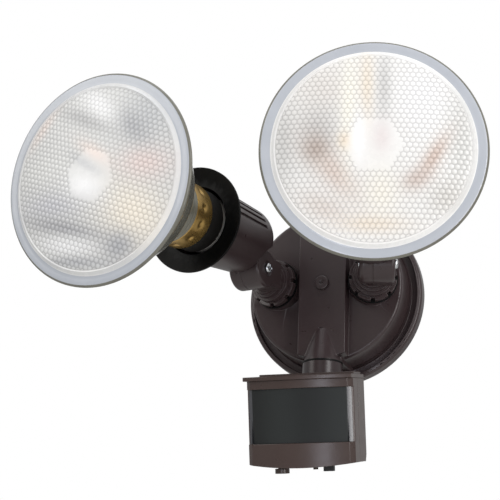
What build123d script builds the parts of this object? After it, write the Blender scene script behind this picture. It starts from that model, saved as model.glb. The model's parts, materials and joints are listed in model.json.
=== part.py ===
"""Motion sensor security light: a round wall canopy, two reflector lamps on
swivel arms and a motion sensor head on a turning neck. Millimetres, +Z up,
+X right, the wall is the plane Y = 0 and the light stands out towards -Y."""
from build123d import *
import math
import os

os.makedirs("parts", exist_ok=True)

# ------------------------------------------------------------ canopy fastening
# The strap's slots take the outlet box's screws; the canopy covers the strap.
strap_slot_spacing = 88.9
strap_slot_length = 6.0
strap_slot_radius = 2.2
strap_end_land = 1.35
strap_width = 12.7
strap_thick = 1.6
strap_end_gap = 0.4
bolt_radius = 2.08
bolt_gap = 0.06
cap_radius = 4.5
cap_height = 2.4
cap_dimple_radius = 1.3
strap_length = strap_slot_spacing + strap_slot_length + 2 * strap_end_land

# ------------------------------------------------------------------- seat sizes
band_width = 30.5
lock_nut_radius = 15.0
lock_nut_thick = 4.0
lock_nut_notches = 8
lock_nut_notch_width = 2.6
lock_nut_notch_depth = 1.8
inner_nut_flats = 26.0
inner_nut_thick = 5.0
seat_land = 0.5
seat_band_gap = 0.75
seat_drum_gap = 2.1
seat_rise = 4.0
seat_back_gap = 0.14
seat_z = 2.0
arm_splay = 13.4
seat_radius = lock_nut_radius + seat_land
seat_x = band_width / 2 + seat_radius + seat_band_gap
splay = math.radians(arm_splay)

# ---------------------------------------------------------------- canopy sizes
rim_land = 3.0
foam_width = 3.5
hollow_step = 1.3
flange_thick = 9.4
flange_round = 2.2
flange_slope = 0.6
flange_land = 7.4
groove_width = 4.5
groove_depth = 3.4
drum_draft = 0.5
step_height = 10.4
step_lip = 0.35
face_height = 31.5
face_round = 1.2
canopy_wall = 2.6
band_height = 40.7
gasket_thick = 2.0
rim_width = rim_land + foam_width + hollow_step
canopy_for_strap = strap_length / 2 + strap_end_gap + rim_width
canopy_for_seats = seat_x + seat_radius + seat_drum_gap + drum_draft + flange_land
canopy_radius = max(canopy_for_strap, canopy_for_seats)
step_radius = canopy_radius - flange_land
face_radius = step_radius - drum_draft
gasket_groove_outer = canopy_radius - rim_land
gasket_groove_inner = gasket_groove_outer - foam_width
hollow_radius = gasket_groove_inner - hollow_step
seat_height = face_height + seat_rise
inner_nut_corner = inner_nut_flats / math.sqrt(3)
seat_through = (seat_rise + canopy_wall) / math.cos(splay)
seat_length = seat_through + inner_nut_corner * math.tan(splay) + seat_back_gap

# ---------------------------------------------------------------- sensor mount
neck_y = -36.0
neck_radius = 12.4
neck_stem_radius = 4.6
running_gap = 0.08
hood_drop = 1.4
hood_height = 21.5
hood_foot_radius = 12.2
hood_top_radius = 5.2
hood_back = -3.0
hood_floor = 6.5
chamber_head_room = 0.4
nut_room = 0.65
seal_thick = 0.9
seal_overhang = 0.2
neck_nut_flats = 12.0
neck_nut_thick = 3.2
neck_washer_thick = 0.8
neck_thread_end = 1.0
hood_bottom = -face_radius - hood_drop
hood_apex = hood_bottom + hood_height
chamber_floor = hood_bottom + hood_floor
stem_top = chamber_floor + neck_washer_thick + neck_nut_thick + neck_thread_end
chamber_top = stem_top + chamber_head_room
chamber_radius = neck_nut_flats / 2 + nut_room
chamber_back = face_height - 2 * canopy_wall

# ----------------------------------------------------------------- sensor head
neck_drop = 13.7
head_pitch = 12.5
head_centre = -8.0
head_width = 67.0
head_front = -26.6
head_split = -13.0
head_side_end = 4.5
head_back = 17.5
head_back_low = 2.5
head_waist = -14.0
head_top = 3.0
head_bottom = -47.85
head_bottom_sag = 2.5
head_wall = 2.2
front_bevel = 3.0
cover_reach = 1.0
top_overhang = 1.5
top_thick = 2.5
plateau_shift = 2.0
plateau_width = 60.0
plateau_front = -15.0
plateau_inset = 2.0
plateau_rise = 1.6
post_width = 3.15
window_drop = 5.25
window_sill = 12.5
rail_bulge = 5.0
lens_recess = 0.8
lens_gap = 0.1
lens_thick = 1.2
lens_lip = 0.8
lens_clip_depth = 1.0
ball_gap = 0.35
neck_lean_front = 9.0
neck_lean_back = 19.5
cup_wall = 2.6
tilt_pin_radius = 2.0
board_y = -11.0
board_thick = 1.6
board_foot = 6.0
board_cup_gap = 2.15
board_floor_gap = 1.15
board_margin = 3.2
detector_radius = 4.6
detector_length = 4.2
detector_drop = 4.0
relay_width = 19.0
relay_height = 12.0
relay_depth = 10.0
relay_x = -24.0
relay_z = -30.0
pivot_z = hood_bottom - neck_drop
window_width = head_width - 2 * post_width
window_top = head_top - window_drop
window_bottom = head_bottom + window_sill
cup_radius = neck_radius + ball_gap
board_top = -cup_radius - cup_wall - board_cup_gap
board_low = head_bottom + head_wall + board_floor_gap

# ------------------------------------------------------------ sensor's controls
control_depth = 6.6
dial_x = -21.7
dial_radius = 4.4
dial_drop = 3.2
dial_face_gap = 0.2
dial_stem_radius = 2.5
dial_stem_rise = 1.0
dial_slot_width = 1.2
dial_slot_depth = 1.0
switch_x = 7.8
switch_knob_width = 6.3
switch_knob_depth = 4.0
switch_drop = 2.4
switch_travel = 3.0
switch_side_gap = 0.4
switch_plate_margin = 0.4
switch_plate_depth = 6.4
switch_plate_thick = 1.2
switch_floor_gap = 0.1
housing_screw_radius = 1.5
housing_screw_length = 9.0
housing_screw_drop = 1.2
housing_screw_x = -0.6
housing_screw_back_y = -2.0
dial_y = head_front + control_depth

# --------------------------------------------------------------- arm and joint
arm_reach = 34.0
left_droop = 3.7
right_droop = 1.9
nipple_radius = 10.45
nipple_tail = 7.0
wire_bore = 5.5
stem_gasket_thick = 1.2
ring_radii = (12.8, 11.2, 9.8)
ring_thick = 3.9
knuckle_radius = 12.0
knuckle_half = 13.3
knuckle_gap = 0.9
knuckle_web = 8.8
web_lap = 1.0
lug_half = 8.5
lug_top = 4.0
lug_round = 3.0
knuckle_screw_radius = 2.5
screw_tip = 0.4
screw_head_radius = 3.2
screw_recess_radius = 4.6
screw_recess_depth = 0.8
knuckle_round = 2.0
screw_head_thick = 2.8
nut_flats = 8.0
nut_thick = 3.2
nut_pocket_gap = 0.38
nut_pocket_radius = nut_flats / math.sqrt(3) + nut_pocket_gap

# -------------------------------------------------------------- reflector lamp
# Distances are measured back from the front of the rim.
lamp_rim_radius = 60.5
rim_width_flat = 6.0
rim_thick = 3.0
rim_round = 1.0
lens_dome = 4.0
glass_thick = 2.2
bowl_seam = 1.0
bowl_step = 3.8
bowl_shoulder = 6.0
bowl_mid_radius = 39.6
bowl_mid_depth = 36.0
bowl_neck_radius = 19.6
bowl_neck_depth = 66.0
neck_inset = 1.2
skirt_gap = 2.0
skirt_over = 0.3
skirt_length = 36.0
skirt_taper = 2.5
skirt_toe = 2.0
skirt_wall = 0.6
cap_lap = 3.0
cap_length = 23.0
cap_cone = 2.0
cap_shell_radius = 12.95
insulator_radius = 10.0
insulator_depth = 4.0
tip_reach = 4.0
tip_radius = 4.6
tip_thick = 1.6
capsule_radius = 6.5
capsule_front = 40.0
capsule_stand = 7.0
capsule_post_radius = 0.9
capsule_post_inset = 2.0
capsule_disc_thick = 3.0
rim_inner_radius = lamp_rim_radius - rim_width_flat
skirt_radius = bowl_neck_radius + skirt_over
skirt_front = bowl_neck_depth + skirt_gap
skirt_back = skirt_front + skirt_length
cap_shell_back = skirt_back + cap_length
tip_back = cap_shell_back + tip_reach

# ------------------------------------------------------- lamp holder and socket
lamp_offset = 17.6
floor_thick = 4.1
socket_base = 7.0
contact_height = 8.5
contact_radius = 4.0
contact_thick = 1.0
contact_gap = 0.1
skirt_socket_gap = 0.9
socket_inset = 2.9
socket_side_gap = 1.0
shell_wall = 0.5
shell_end_gap = 1.1
shell_inset = 1.0
well_gap = 0.6
mouth_gap = 1.6
mouth_lip = 1.5
mouth_thick = 3.0
holder_wall = 2.5
holder_draft = 3.0
holder_waist_y = -10.0
holder_end = 3.5
holder_end_radius = 11.0
holder_end_bulge = 2.0
holder_step = 1.0
bore_step = 4.0
side_groove_width = 1.9
side_groove_depth = 1.2
side_groove_over = 1.0
side_groove_back = 3.0
side_groove_front = 9.0
side_groove_angles = range(12, 169, 12)
lip_flare = 6.5
lip_reach = 4.0
lip_thick = 1.8
lip_lap = 1.0
holder_floor = -(knuckle_radius + knuckle_gap + floor_thick)
socket_floor = holder_floor - socket_base
tip_y = socket_floor - contact_height
rim_distance = tip_back - tip_y
socket_front = skirt_back - rim_distance + skirt_socket_gap
mouth_y = socket_front - socket_inset
holder_front_radius = skirt_radius + mouth_gap + holder_wall
holder_rear_radius = holder_front_radius - holder_draft
mouth_radius = holder_front_radius + mouth_lip
holder_inner_front = holder_front_radius - holder_wall
holder_inner_rear = holder_rear_radius - holder_wall
socket_radius = holder_inner_rear - socket_side_gap
lip_radius = mouth_radius + lip_flare

# ------------------------------------------------------------------- work planes
wall = Plane(origin=(0, 0, 0), x_dir=(1, 0, 0), z_dir=(0, -1, 0))
pitch = math.radians(head_pitch)
head = Plane(
    origin=(0, neck_y, pivot_z),
    x_dir=(1, 0, 0),
    z_dir=(0, -math.sin(pitch), math.cos(pitch)),
)
side_of_arm = Plane(origin=(0, 0, 0), x_dir=(0, 1, 0), z_dir=(1, 0, 0))


def arm_pose(side):
    """Where one arm's knuckle stands: side is -1 on the left, 1 on the right."""
    knuckle = (
        side * (seat_x + arm_reach * math.sin(splay)),
        -(seat_height + arm_reach * math.cos(splay)),
        seat_z,
    )
    return Pos(*knuckle) * Rot(0, 0, side * arm_splay)


arm_poses = {"left": arm_pose(-1), "right": arm_pose(1)}
holder_poses = {
    "left": arm_poses["left"] * Rot(left_droop, 0, 0),
    "right": arm_poses["right"] * Rot(right_droop, 0, 0),
}


def write(part, name):
    """Label one finished piece and write its STEP file."""
    part.label = name
    export_step(part, f"parts/{name}.step")


def write_pair(part, name, poses):
    """Write the left and the right copy of a piece drawn at the knuckle."""
    for side, pose in poses.items():
        write(part.moved(pose), f"{side}_{name}")


# ------------------------------------------------------------------------ canopy
# The casting: a flange against the wall, a stepped drum, a raised band down the
# middle that ends in a hood over the sensor's neck, and two splayed arm seats.
groove_outer = step_radius + groove_width
band_top_wall = band_height - canopy_wall
seat_planes = []
for side in (-1, 1):
    outward = (side * math.sin(splay), -math.cos(splay), 0)
    seat_planes.append(
        Plane(origin=(side * seat_x, -seat_height, seat_z), x_dir=(0, 0, 1), z_dir=outward)
    )

with BuildPart() as canopy:
    with BuildSketch(Plane.XY) as outer_profile:
        with BuildLine():
            Polyline(
                (0, 0),
                (canopy_radius, 0),
                (canopy_radius, -flange_thick + flange_round),
            )
            ThreePointArc(
                (canopy_radius, -flange_thick + flange_round),
                (
                    canopy_radius - flange_round * (1 - math.sqrt(0.5)),
                    -flange_thick + flange_round * (1 - math.sqrt(0.5)),
                ),
                (canopy_radius - flange_round, -flange_thick),
            )
            Polyline(
                (canopy_radius - flange_round, -flange_thick),
                (groove_outer, -flange_thick - flange_slope),
                (groove_outer, -flange_thick + groove_depth),
                (step_radius, -flange_thick + groove_depth),
                (step_radius, -step_height),
                (step_radius - step_lip, -step_height - step_lip),
                (face_radius, -face_height + face_round),
                (face_radius - face_round, -face_height),
                (0, -face_height),
                (0, 0),
            )
        make_face()
    revolve(axis=Axis.Y)
    with BuildSketch(wall.offset(canopy_wall)) as band_outline:
        Circle(face_radius - face_round)
        Rectangle(band_width, 2 * canopy_radius, mode=Mode.INTERSECT)
    extrude(amount=band_height - canopy_wall)
    with BuildSketch(Plane.XY.offset(hood_bottom)) as hood_block:
        with Locations((0, (hood_back + neck_y) / 2)):
            Rectangle(2 * hood_foot_radius, hood_back - neck_y)
    extrude(amount=-hood_bottom + hood_apex)
    with Locations((0, neck_y, (hood_bottom + hood_apex) / 2)):
        Cone(hood_foot_radius, hood_top_radius, hood_height)
    with BuildSketch(Plane.XY) as hollow_profile:
        with BuildLine():
            Polyline(
                (0, 0),
                (hollow_radius, 0),
                (step_radius - canopy_wall, -step_height + canopy_wall),
                (face_radius - canopy_wall, -face_height + canopy_wall),
                (0, -face_height + canopy_wall),
                (0, 0),
            )
        make_face()
    revolve(axis=Axis.Y, mode=Mode.SUBTRACT)
    with BuildSketch(wall) as gasket_groove:
        Circle(gasket_groove_outer)
        Circle(gasket_groove_inner, mode=Mode.SUBTRACT)
    extrude(amount=gasket_thick, mode=Mode.SUBTRACT)
    with BuildSketch(wall.offset(face_height - canopy_wall)) as band_pocket:
        Circle(face_radius - 2 * canopy_wall)
        with Locations((0, hood_apex + face_radius)):
            Rectangle(band_width - 2 * canopy_wall, 2 * face_radius, mode=Mode.INTERSECT)
    extrude(amount=band_top_wall - face_height + canopy_wall, mode=Mode.SUBTRACT)
    with BuildSketch(Plane.XY.offset(chamber_floor)) as nut_chamber:
        with Locations((0, neck_y)):
            Circle(chamber_radius)
        with Locations((0, (neck_y - chamber_back) / 2)):
            Rectangle(2 * chamber_radius, -neck_y - chamber_back)
    extrude(amount=chamber_top - chamber_floor, mode=Mode.SUBTRACT)
    for seat in seat_planes:
        with BuildSketch(seat):
            Circle(seat_radius)
        extrude(amount=-seat_length)
    for seat in seat_planes:
        with BuildSketch(seat):
            Circle(nipple_radius + running_gap)
        extrude(amount=-seat_length, mode=Mode.SUBTRACT)
    with BuildSketch(Plane.XY.offset(hood_bottom)) as neck_bore:
        with Locations((0, neck_y)):
            Circle(neck_stem_radius + running_gap)
    extrude(amount=chamber_floor - hood_bottom, mode=Mode.SUBTRACT)
    with BuildSketch(wall.offset(face_height)) as bolt_hole:
        Circle(bolt_radius + bolt_gap)
    extrude(amount=band_height - face_height, mode=Mode.SUBTRACT)
write(canopy.part, "canopy")

# Foam ring in the groove of the canopy's back, flush with the wall.
with BuildPart() as canopy_gasket:
    with BuildSketch(wall) as foam_ring:
        Circle(gasket_groove_outer)
        Circle(gasket_groove_inner, mode=Mode.SUBTRACT)
    extrude(amount=gasket_thick)
write(canopy_gasket.part, "canopy_gasket")

# Steel strap that screws to the outlet box; the centre bolt hangs the canopy on it.
with BuildPart() as mounting_strap:
    with BuildSketch(wall) as strap_outline:
        SlotOverall(strap_length, strap_width)
        with Locations((-strap_slot_spacing / 2, 0), (strap_slot_spacing / 2, 0)):
            SlotOverall(strap_slot_length, 2 * strap_slot_radius, mode=Mode.SUBTRACT)
        Circle(bolt_radius + bolt_gap, mode=Mode.SUBTRACT)
    extrude(amount=strap_thick)
write(mounting_strap.part, "mounting_strap")

with BuildPart() as centre_bolt:
    with BuildSketch(wall) as bolt_outline:
        Circle(bolt_radius)
    extrude(amount=band_height + cap_height / 2)
write(centre_bolt.part, "centre_bolt")

# Low round cap nut with a dimple, on the front of the band.
with BuildPart() as centre_cap:
    with BuildSketch(wall.offset(band_height)) as cap_outline:
        Circle(cap_radius)
    extrude(amount=cap_height)
    fillet(centre_cap.faces().sort_by(Axis.Y)[0].edges(), cap_height / 3)
    with BuildSketch(wall.offset(band_height)) as cap_thread:
        Circle(bolt_radius + bolt_gap)
    extrude(amount=cap_height / 2, mode=Mode.SUBTRACT)
    with BuildSketch(wall.offset(band_height + cap_height)) as cap_dimple:
        Circle(cap_dimple_radius)
    extrude(amount=-cap_height / 4, mode=Mode.SUBTRACT)
write(centre_cap.part, "centre_cap")

# ------------------------------------------------------------------- sensor neck
# Black ring between the hood and the neck's shoulder.
with BuildPart() as neck_seal:
    with BuildSketch(Plane.XY.offset(hood_bottom)) as seal_ring:
        with Locations((0, neck_y)):
            Circle(neck_radius + seal_overhang)
            Circle(neck_stem_radius + running_gap, mode=Mode.SUBTRACT)
    extrude(amount=-seal_thick)
write(neck_seal.part, "neck_seal")

# The neck turns in the hood; its lower end is a ball on the tilt pin.
shoulder_z = hood_bottom - seal_thick
with BuildPart() as sensor_neck:
    with BuildSketch(Plane.XY.offset(pivot_z)) as neck_round:
        with Locations((0, neck_y)):
            Circle(neck_radius)
    extrude(amount=shoulder_z - pivot_z)
    with Locations((0, neck_y, pivot_z)):
        Sphere(neck_radius, arc_size1=-90, arc_size2=0)
    with BuildSketch(Plane.XY.offset(shoulder_z)) as stem_round:
        with Locations((0, neck_y)):
            Circle(neck_stem_radius)
    extrude(amount=stem_top - shoulder_z)
    with BuildSketch(Plane(origin=(-neck_radius, neck_y, pivot_z), z_dir=(1, 0, 0))) as pin_hole:
        Circle(tilt_pin_radius + running_gap)
    extrude(amount=2 * neck_radius, mode=Mode.SUBTRACT)
write(sensor_neck.part, "sensor_neck")

with BuildPart() as neck_nut:
    with BuildSketch(Plane.XY.offset(chamber_floor)) as washer_ring:
        with Locations((0, neck_y)):
            Circle(neck_nut_flats / 2)
            Circle(neck_stem_radius, mode=Mode.SUBTRACT)
    extrude(amount=neck_washer_thick)
    with BuildSketch(Plane.XY.offset(chamber_floor + neck_washer_thick)) as nut_hexagon:
        with Locations((0, neck_y)):
            RegularPolygon(neck_nut_flats / 2, 6, major_radius=False, rotation=30)
            Circle(neck_stem_radius, mode=Mode.SUBTRACT)
    extrude(amount=neck_nut_thick)
    with BuildSketch(Plane.XY.offset(chamber_floor)) as nut_limit:
        with Locations((0, neck_y)):
            Circle(neck_nut_flats / 2)
    extrude(amount=neck_washer_thick + neck_nut_thick, mode=Mode.INTERSECT)
write(neck_nut.part, "neck_nut")

# ------------------------------------------------------------------- sensor head
head_left = head_centre - head_width / 2
head_right = head_centre + head_width / 2
rear_corner = head_back - head_side_end
pin_length = 2 * (cup_radius + cup_wall)


def head_plan(margin):
    """Plan of the rear housing, with its back corners cut, drawn margin inside."""
    cut = rear_corner + margin * (1 - math.sqrt(2))
    left = head_left + margin
    right = head_right - margin
    back = head_back - margin
    return [
        (left, head_split),
        (right, head_split),
        (right, back - cut),
        (right - cut, back),
        (left + cut, back),
        (left, back - cut),
        (left, head_split),
    ]


lean_front = math.radians(neck_lean_front)
lean_back = math.radians(neck_lean_back)
throat_length = head_top + top_thick + plateau_rise + cup_radius / 2
foot_front = (-cup_radius * math.cos(lean_front), -cup_radius * math.sin(lean_front))
foot_back = (cup_radius * math.cos(lean_back), -cup_radius * math.sin(lean_back))
throat = [
    foot_front,
    foot_back,
    (
        foot_back[0] + throat_length * math.sin(lean_back),
        foot_back[1] + throat_length * math.cos(lean_back),
    ),
    (
        foot_front[0] - throat_length * math.sin(lean_front),
        foot_front[1] + throat_length * math.cos(lean_front),
    ),
    foot_front,
]
head_side = Plane(origin=head.origin, x_dir=head.y_dir, z_dir=(1, 0, 0))

# Rear housing: an open box with the ball's cup under its top.
with BuildPart() as sensor_rear_housing:
    with BuildSketch(head.offset(head_bottom)) as rear_plan:
        with BuildLine():
            Polyline(*head_plan(0))
        make_face()
    extrude(amount=head_top - head_bottom)
    with BuildSketch(head_side.offset(head_left)) as back_slope:
        with BuildLine():
            Polyline(
                (head_back, head_waist),
                (head_back + 1, head_waist),
                (head_back + 1, head_bottom),
                (head_back_low, head_bottom),
                (head_back, head_waist),
            )
        make_face()
    extrude(amount=head_width, mode=Mode.SUBTRACT)
    mouth = sensor_rear_housing.faces().sort_by(Axis(head.origin, head.y_dir))[0]
    offset(amount=-head_wall, openings=mouth, kind=Kind.INTERSECTION)
    with BuildSketch(head.offset(head_top - head_wall)) as cup_block:
        with Locations((0, (head_back - cup_radius - cup_wall) / 2)):
            Rectangle(pin_length, cup_radius + cup_wall + head_back)
    extrude(amount=-cup_radius - cup_wall + head_wall - head_top)
    with Locations(head.origin):
        Sphere(cup_radius, mode=Mode.SUBTRACT)
    with BuildSketch(head_side.offset(-cup_radius)) as rear_throat:
        with BuildLine():
            Polyline(*throat)
        make_face()
    extrude(amount=2 * cup_radius, mode=Mode.SUBTRACT)
    with BuildSketch(head_side.offset(-pin_length / 2)) as rear_pin_hole:
        Circle(tilt_pin_radius)
    extrude(amount=pin_length, mode=Mode.SUBTRACT)
    with BuildSketch(head.offset(head_bottom)) as back_screw_hole:
        with Locations((housing_screw_x, housing_screw_back_y)):
            Circle(housing_screw_radius)
    extrude(amount=head_wall + 1, mode=Mode.SUBTRACT)
write(sensor_rear_housing.part, "sensor_rear_housing")

cover_front = head_front - cover_reach
plateau_left = head_centre + plateau_shift - plateau_width / 2
plateau_right = head_centre + plateau_shift + plateau_width / 2

# Top cover: a plate that overhangs the housing, with a low raised part at the back.
with BuildPart() as sensor_top_cover:
    with BuildSketch(head.offset(head_top)) as cover_plan:
        with BuildLine():
            Polyline(
                (head_right, cover_front),
                (head_right, head_side_end),
                (head_right - rear_corner, head_back),
                (head_left + rear_corner, head_back),
                (head_left - top_overhang, head_side_end - top_overhang),
                (head_left - top_overhang, cover_front),
            )
            ThreePointArc(
                (head_left - top_overhang, cover_front),
                (head_centre, cover_front - rail_bulge),
                (head_right, cover_front),
            )
        make_face()
    extrude(amount=top_thick)
    with BuildSketch(head.offset(head_top + top_thick)) as plateau:
        with BuildLine():
            Polyline(
                (plateau_left, plateau_front),
                (plateau_right, plateau_front),
                (plateau_right, head_side_end - plateau_inset),
                (head_right - rear_corner - plateau_inset, head_back - plateau_inset / 2),
                (head_left + rear_corner + plateau_inset, head_back - plateau_inset / 2),
                (plateau_left, head_side_end - plateau_inset),
                (plateau_left, plateau_front),
            )
        make_face()
    extrude(amount=plateau_rise)
    with BuildSketch(head_side.offset(-cup_radius)) as cover_throat:
        with BuildLine():
            Polyline(*throat)
        make_face()
    extrude(amount=2 * cup_radius, mode=Mode.SUBTRACT)
write(sensor_top_cover.part, "sensor_top_cover")

# Front housing: bevelled corners, a wide window between bowed rails and a
# sagging lower edge.
front_depth = head_split - head_front
bow_left = head_centre - window_width / 2
bow_right = head_centre + window_width / 2
bow_room_front = head_front - rail_bulge - 1
head_face = Plane(origin=head.origin, x_dir=(1, 0, 0), z_dir=-head.y_dir)


def front_corners(margin):
    """Lower left, upper left, upper right and lower right corners, margin inside."""
    left = head_left + margin
    right = head_right - margin
    low = head_bottom + margin
    high = head_top - margin
    return [(left, low), (left, high), (right, high), (right, low)]


def front_sag(margin):
    """Lowest point of the sagging edge, margin inside."""
    return (head_centre, head_bottom - head_bottom_sag + margin)


window_height = window_top - window_bottom
window_middle = (window_top + window_bottom) / 2
with BuildPart() as sensor_front_housing:
    with BuildSketch(head_face.offset(-head_split)) as front_view:
        with BuildLine():
            corners = front_corners(0)
            Polyline(*corners)
            ThreePointArc(corners[3], front_sag(0), corners[0])
        make_face()
    extrude(amount=front_depth + rail_bulge)
    with BuildSketch(head.offset(head_bottom - head_bottom_sag)) as bow_room:
        with BuildLine():
            Line((head_left, head_front), (bow_left, head_front))
            ThreePointArc(
                (bow_left, head_front),
                (head_centre, head_front - rail_bulge),
                (bow_right, head_front),
            )
            Polyline(
                (bow_right, head_front),
                (head_right, head_front),
                (head_right, bow_room_front),
                (head_left, bow_room_front),
                (head_left, head_front),
            )
        make_face()
    extrude(amount=head_top - head_bottom + head_bottom_sag, mode=Mode.SUBTRACT)
    with BuildSketch(head.offset(head_bottom - head_bottom_sag)) as corner_bevels:
        with Locations((head_left, head_front), (head_right, head_front)):
            Rectangle(front_bevel * math.sqrt(2), front_bevel * math.sqrt(2), rotation=45)
    extrude(amount=head_top - head_bottom + head_bottom_sag, mode=Mode.SUBTRACT)
    with BuildSketch(head_face.offset(-head_split)) as front_hollow:
        with BuildLine():
            corners = front_corners(head_wall)
            Polyline(*corners)
            ThreePointArc(corners[3], front_sag(head_wall), corners[0])
        make_face()
    extrude(amount=front_depth - head_wall - lens_clip_depth, mode=Mode.SUBTRACT)
    with BuildSketch(head_face.offset(-head_split)) as window:
        with Locations((head_centre, window_middle)):
            Rectangle(window_width, window_height)
    extrude(amount=front_depth + rail_bulge, mode=Mode.SUBTRACT)
    with BuildSketch(head.offset(head_bottom - head_bottom_sag)) as control_holes:
        with Locations((dial_x, dial_y)):
            Circle(dial_stem_radius + running_gap)
        with Locations((switch_x, dial_y)):
            Rectangle(switch_knob_width + switch_travel, switch_knob_depth + 2 * switch_side_gap)
        with Locations((housing_screw_x, dial_y)):
            Circle(housing_screw_radius)
    extrude(amount=head_bottom_sag + head_wall + 1, mode=Mode.SUBTRACT)
write(sensor_front_housing.part, "sensor_front_housing")

# Segmented lens: a bowed sheet that fills the window and clips behind its edge.
lens_back = head_front + head_wall + lens_clip_depth
lens_bulge = rail_bulge - lens_recess
with BuildPart() as sensor_lens:
    with BuildSketch(head.offset(window_bottom + lens_gap)) as lens_plan:
        with BuildLine():
            ThreePointArc(
                (head_centre - window_width / 2 + lens_gap, head_front + lens_thick),
                (head_centre, head_front - lens_bulge),
                (head_centre + window_width / 2 - lens_gap, head_front + lens_thick),
            )
            Polyline(
                (head_centre + window_width / 2 - lens_gap, head_front + lens_thick),
                (head_centre + window_width / 2 - lens_gap, lens_back),
                (head_centre + window_width / 2 - lens_thick, lens_back),
                (head_centre + window_width / 2 - lens_thick, head_front + lens_thick),
            )
            ThreePointArc(
                (head_centre + window_width / 2 - lens_thick, head_front + lens_thick),
                (head_centre, head_front - lens_bulge + lens_thick),
                (head_centre - window_width / 2 + lens_thick, head_front + lens_thick),
            )
            Polyline(
                (head_centre - window_width / 2 + lens_thick, head_front + lens_thick),
                (head_centre - window_width / 2 + lens_thick, lens_back),
                (head_centre - window_width / 2 + lens_gap, lens_back),
                (head_centre - window_width / 2 + lens_gap, head_front + lens_thick),
            )
        make_face()
    extrude(amount=window_height - 2 * lens_gap)
    with BuildSketch(head_face.offset(-lens_back)) as lens_frame:
        with Locations((head_centre, window_middle)):
            Rectangle(window_width + 2 * lens_lip, window_height + 2 * lens_lip)
            Rectangle(
                window_width - 2 * lens_thick,
                window_height - 2 * lens_thick,
                mode=Mode.SUBTRACT,
            )
    extrude(amount=-lens_thick)
write(sensor_lens.part, "sensor_lens")

# Circuit board across the rear housing, with the relay on it.
board_width = head_width - 2 * board_margin
with BuildPart() as sensor_board:
    with BuildSketch(head_face.offset(-board_y)) as board_outline:
        with Locations((head_centre, (board_top + board_low) / 2)):
            Rectangle(board_width, board_top - board_low)
    extrude(amount=-board_thick)
    with BuildSketch(head.offset(head_bottom + head_wall)) as board_feet:
        with Locations(
            (head_centre - board_width / 3, board_y + board_thick / 2),
            (head_centre + board_width / 3, board_y + board_thick / 2),
        ):
            Rectangle(board_foot, board_thick)
    extrude(amount=board_floor_gap + board_thick)
write(sensor_board.part, "sensor_board")

with BuildPart() as sensor_relay:
    with BuildSketch(head_face.offset(-board_y - board_thick)) as relay_outline:
        with Locations((relay_x, relay_z)):
            Rectangle(relay_width, relay_height)
    extrude(amount=-relay_depth)
write(sensor_relay.part, "sensor_relay")

with BuildPart() as motion_detector:
    with BuildSketch(head_face.offset(-board_y)) as detector_outline:
        with Locations((head_centre, board_top - detector_drop)):
            Circle(detector_radius)
    extrude(amount=detector_length)
write(motion_detector.part, "motion_detector")

# Range dial and time switch on the underside of the head.
floor_sag = head_bottom - head_bottom_sag
with BuildPart() as range_dial:
    with BuildSketch(head.offset(floor_sag - dial_drop)) as dial_round:
        with Locations((dial_x, dial_y)):
            Circle(dial_radius)
    extrude(amount=dial_drop - dial_face_gap)
    with BuildSketch(head.offset(floor_sag - dial_face_gap)) as dial_stem:
        with Locations((dial_x, dial_y)):
            Circle(dial_stem_radius)
    extrude(amount=head_bottom_sag + head_wall + dial_stem_rise + dial_face_gap)
    with BuildSketch(head.offset(floor_sag - dial_drop)) as dial_slot:
        with Locations((dial_x, dial_y)):
            Rectangle(2 * dial_radius, dial_slot_width)
    extrude(amount=dial_slot_depth, mode=Mode.SUBTRACT)
write(range_dial.part, "range_dial")

with BuildPart() as time_switch:
    with BuildSketch(head.offset(floor_sag - switch_drop)) as knob_outline:
        with Locations((switch_x, dial_y)):
            Rectangle(switch_knob_width, switch_knob_depth)
    extrude(amount=switch_drop + head_bottom_sag + head_wall + switch_plate_thick / 2)
    with BuildSketch(head.offset(head_bottom + head_wall + switch_floor_gap)) as slider_plate:
        with Locations((switch_x, dial_y)):
            Rectangle(
                switch_knob_width + switch_travel + 2 * switch_plate_margin,
                switch_plate_depth,
            )
    extrude(amount=switch_plate_thick)
write(time_switch.part, "time_switch")

# Two screws up through the floor of the head, one in each half of the housing.
with BuildPart() as housing_screws:
    with BuildSketch(head.offset(floor_sag - housing_screw_drop)) as front_screw:
        with Locations((housing_screw_x, dial_y)):
            Circle(housing_screw_radius)
    extrude(amount=housing_screw_length)
    with BuildSketch(head.offset(head_bottom - housing_screw_drop)) as back_screw:
        with Locations((housing_screw_x, housing_screw_back_y)):
            Circle(housing_screw_radius)
    extrude(amount=housing_screw_length)
write(housing_screws.part, "housing_screws")

with BuildPart() as tilt_pin:
    with BuildSketch(head_side.offset(-pin_length / 2)) as pin_round:
        Circle(tilt_pin_radius)
    extrude(amount=pin_length)
write(tilt_pin.part, "tilt_pin")

# ----------------------------------------------------------------- swivel arms
# Each arm is drawn at its knuckle: +Y runs back along the stem to the canopy,
# +X is the knuckle screw's axis and the lamp's axis lies lamp_offset above.
nut_seat = arm_reach - stem_gasket_thick
rings_back = nut_seat - lock_nut_thick
ring_starts = [rings_back - ring_thick * (i + 1) for i in range(len(ring_radii))]
nipple_end = arm_reach + seat_length + inner_nut_thick + nipple_tail

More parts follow.
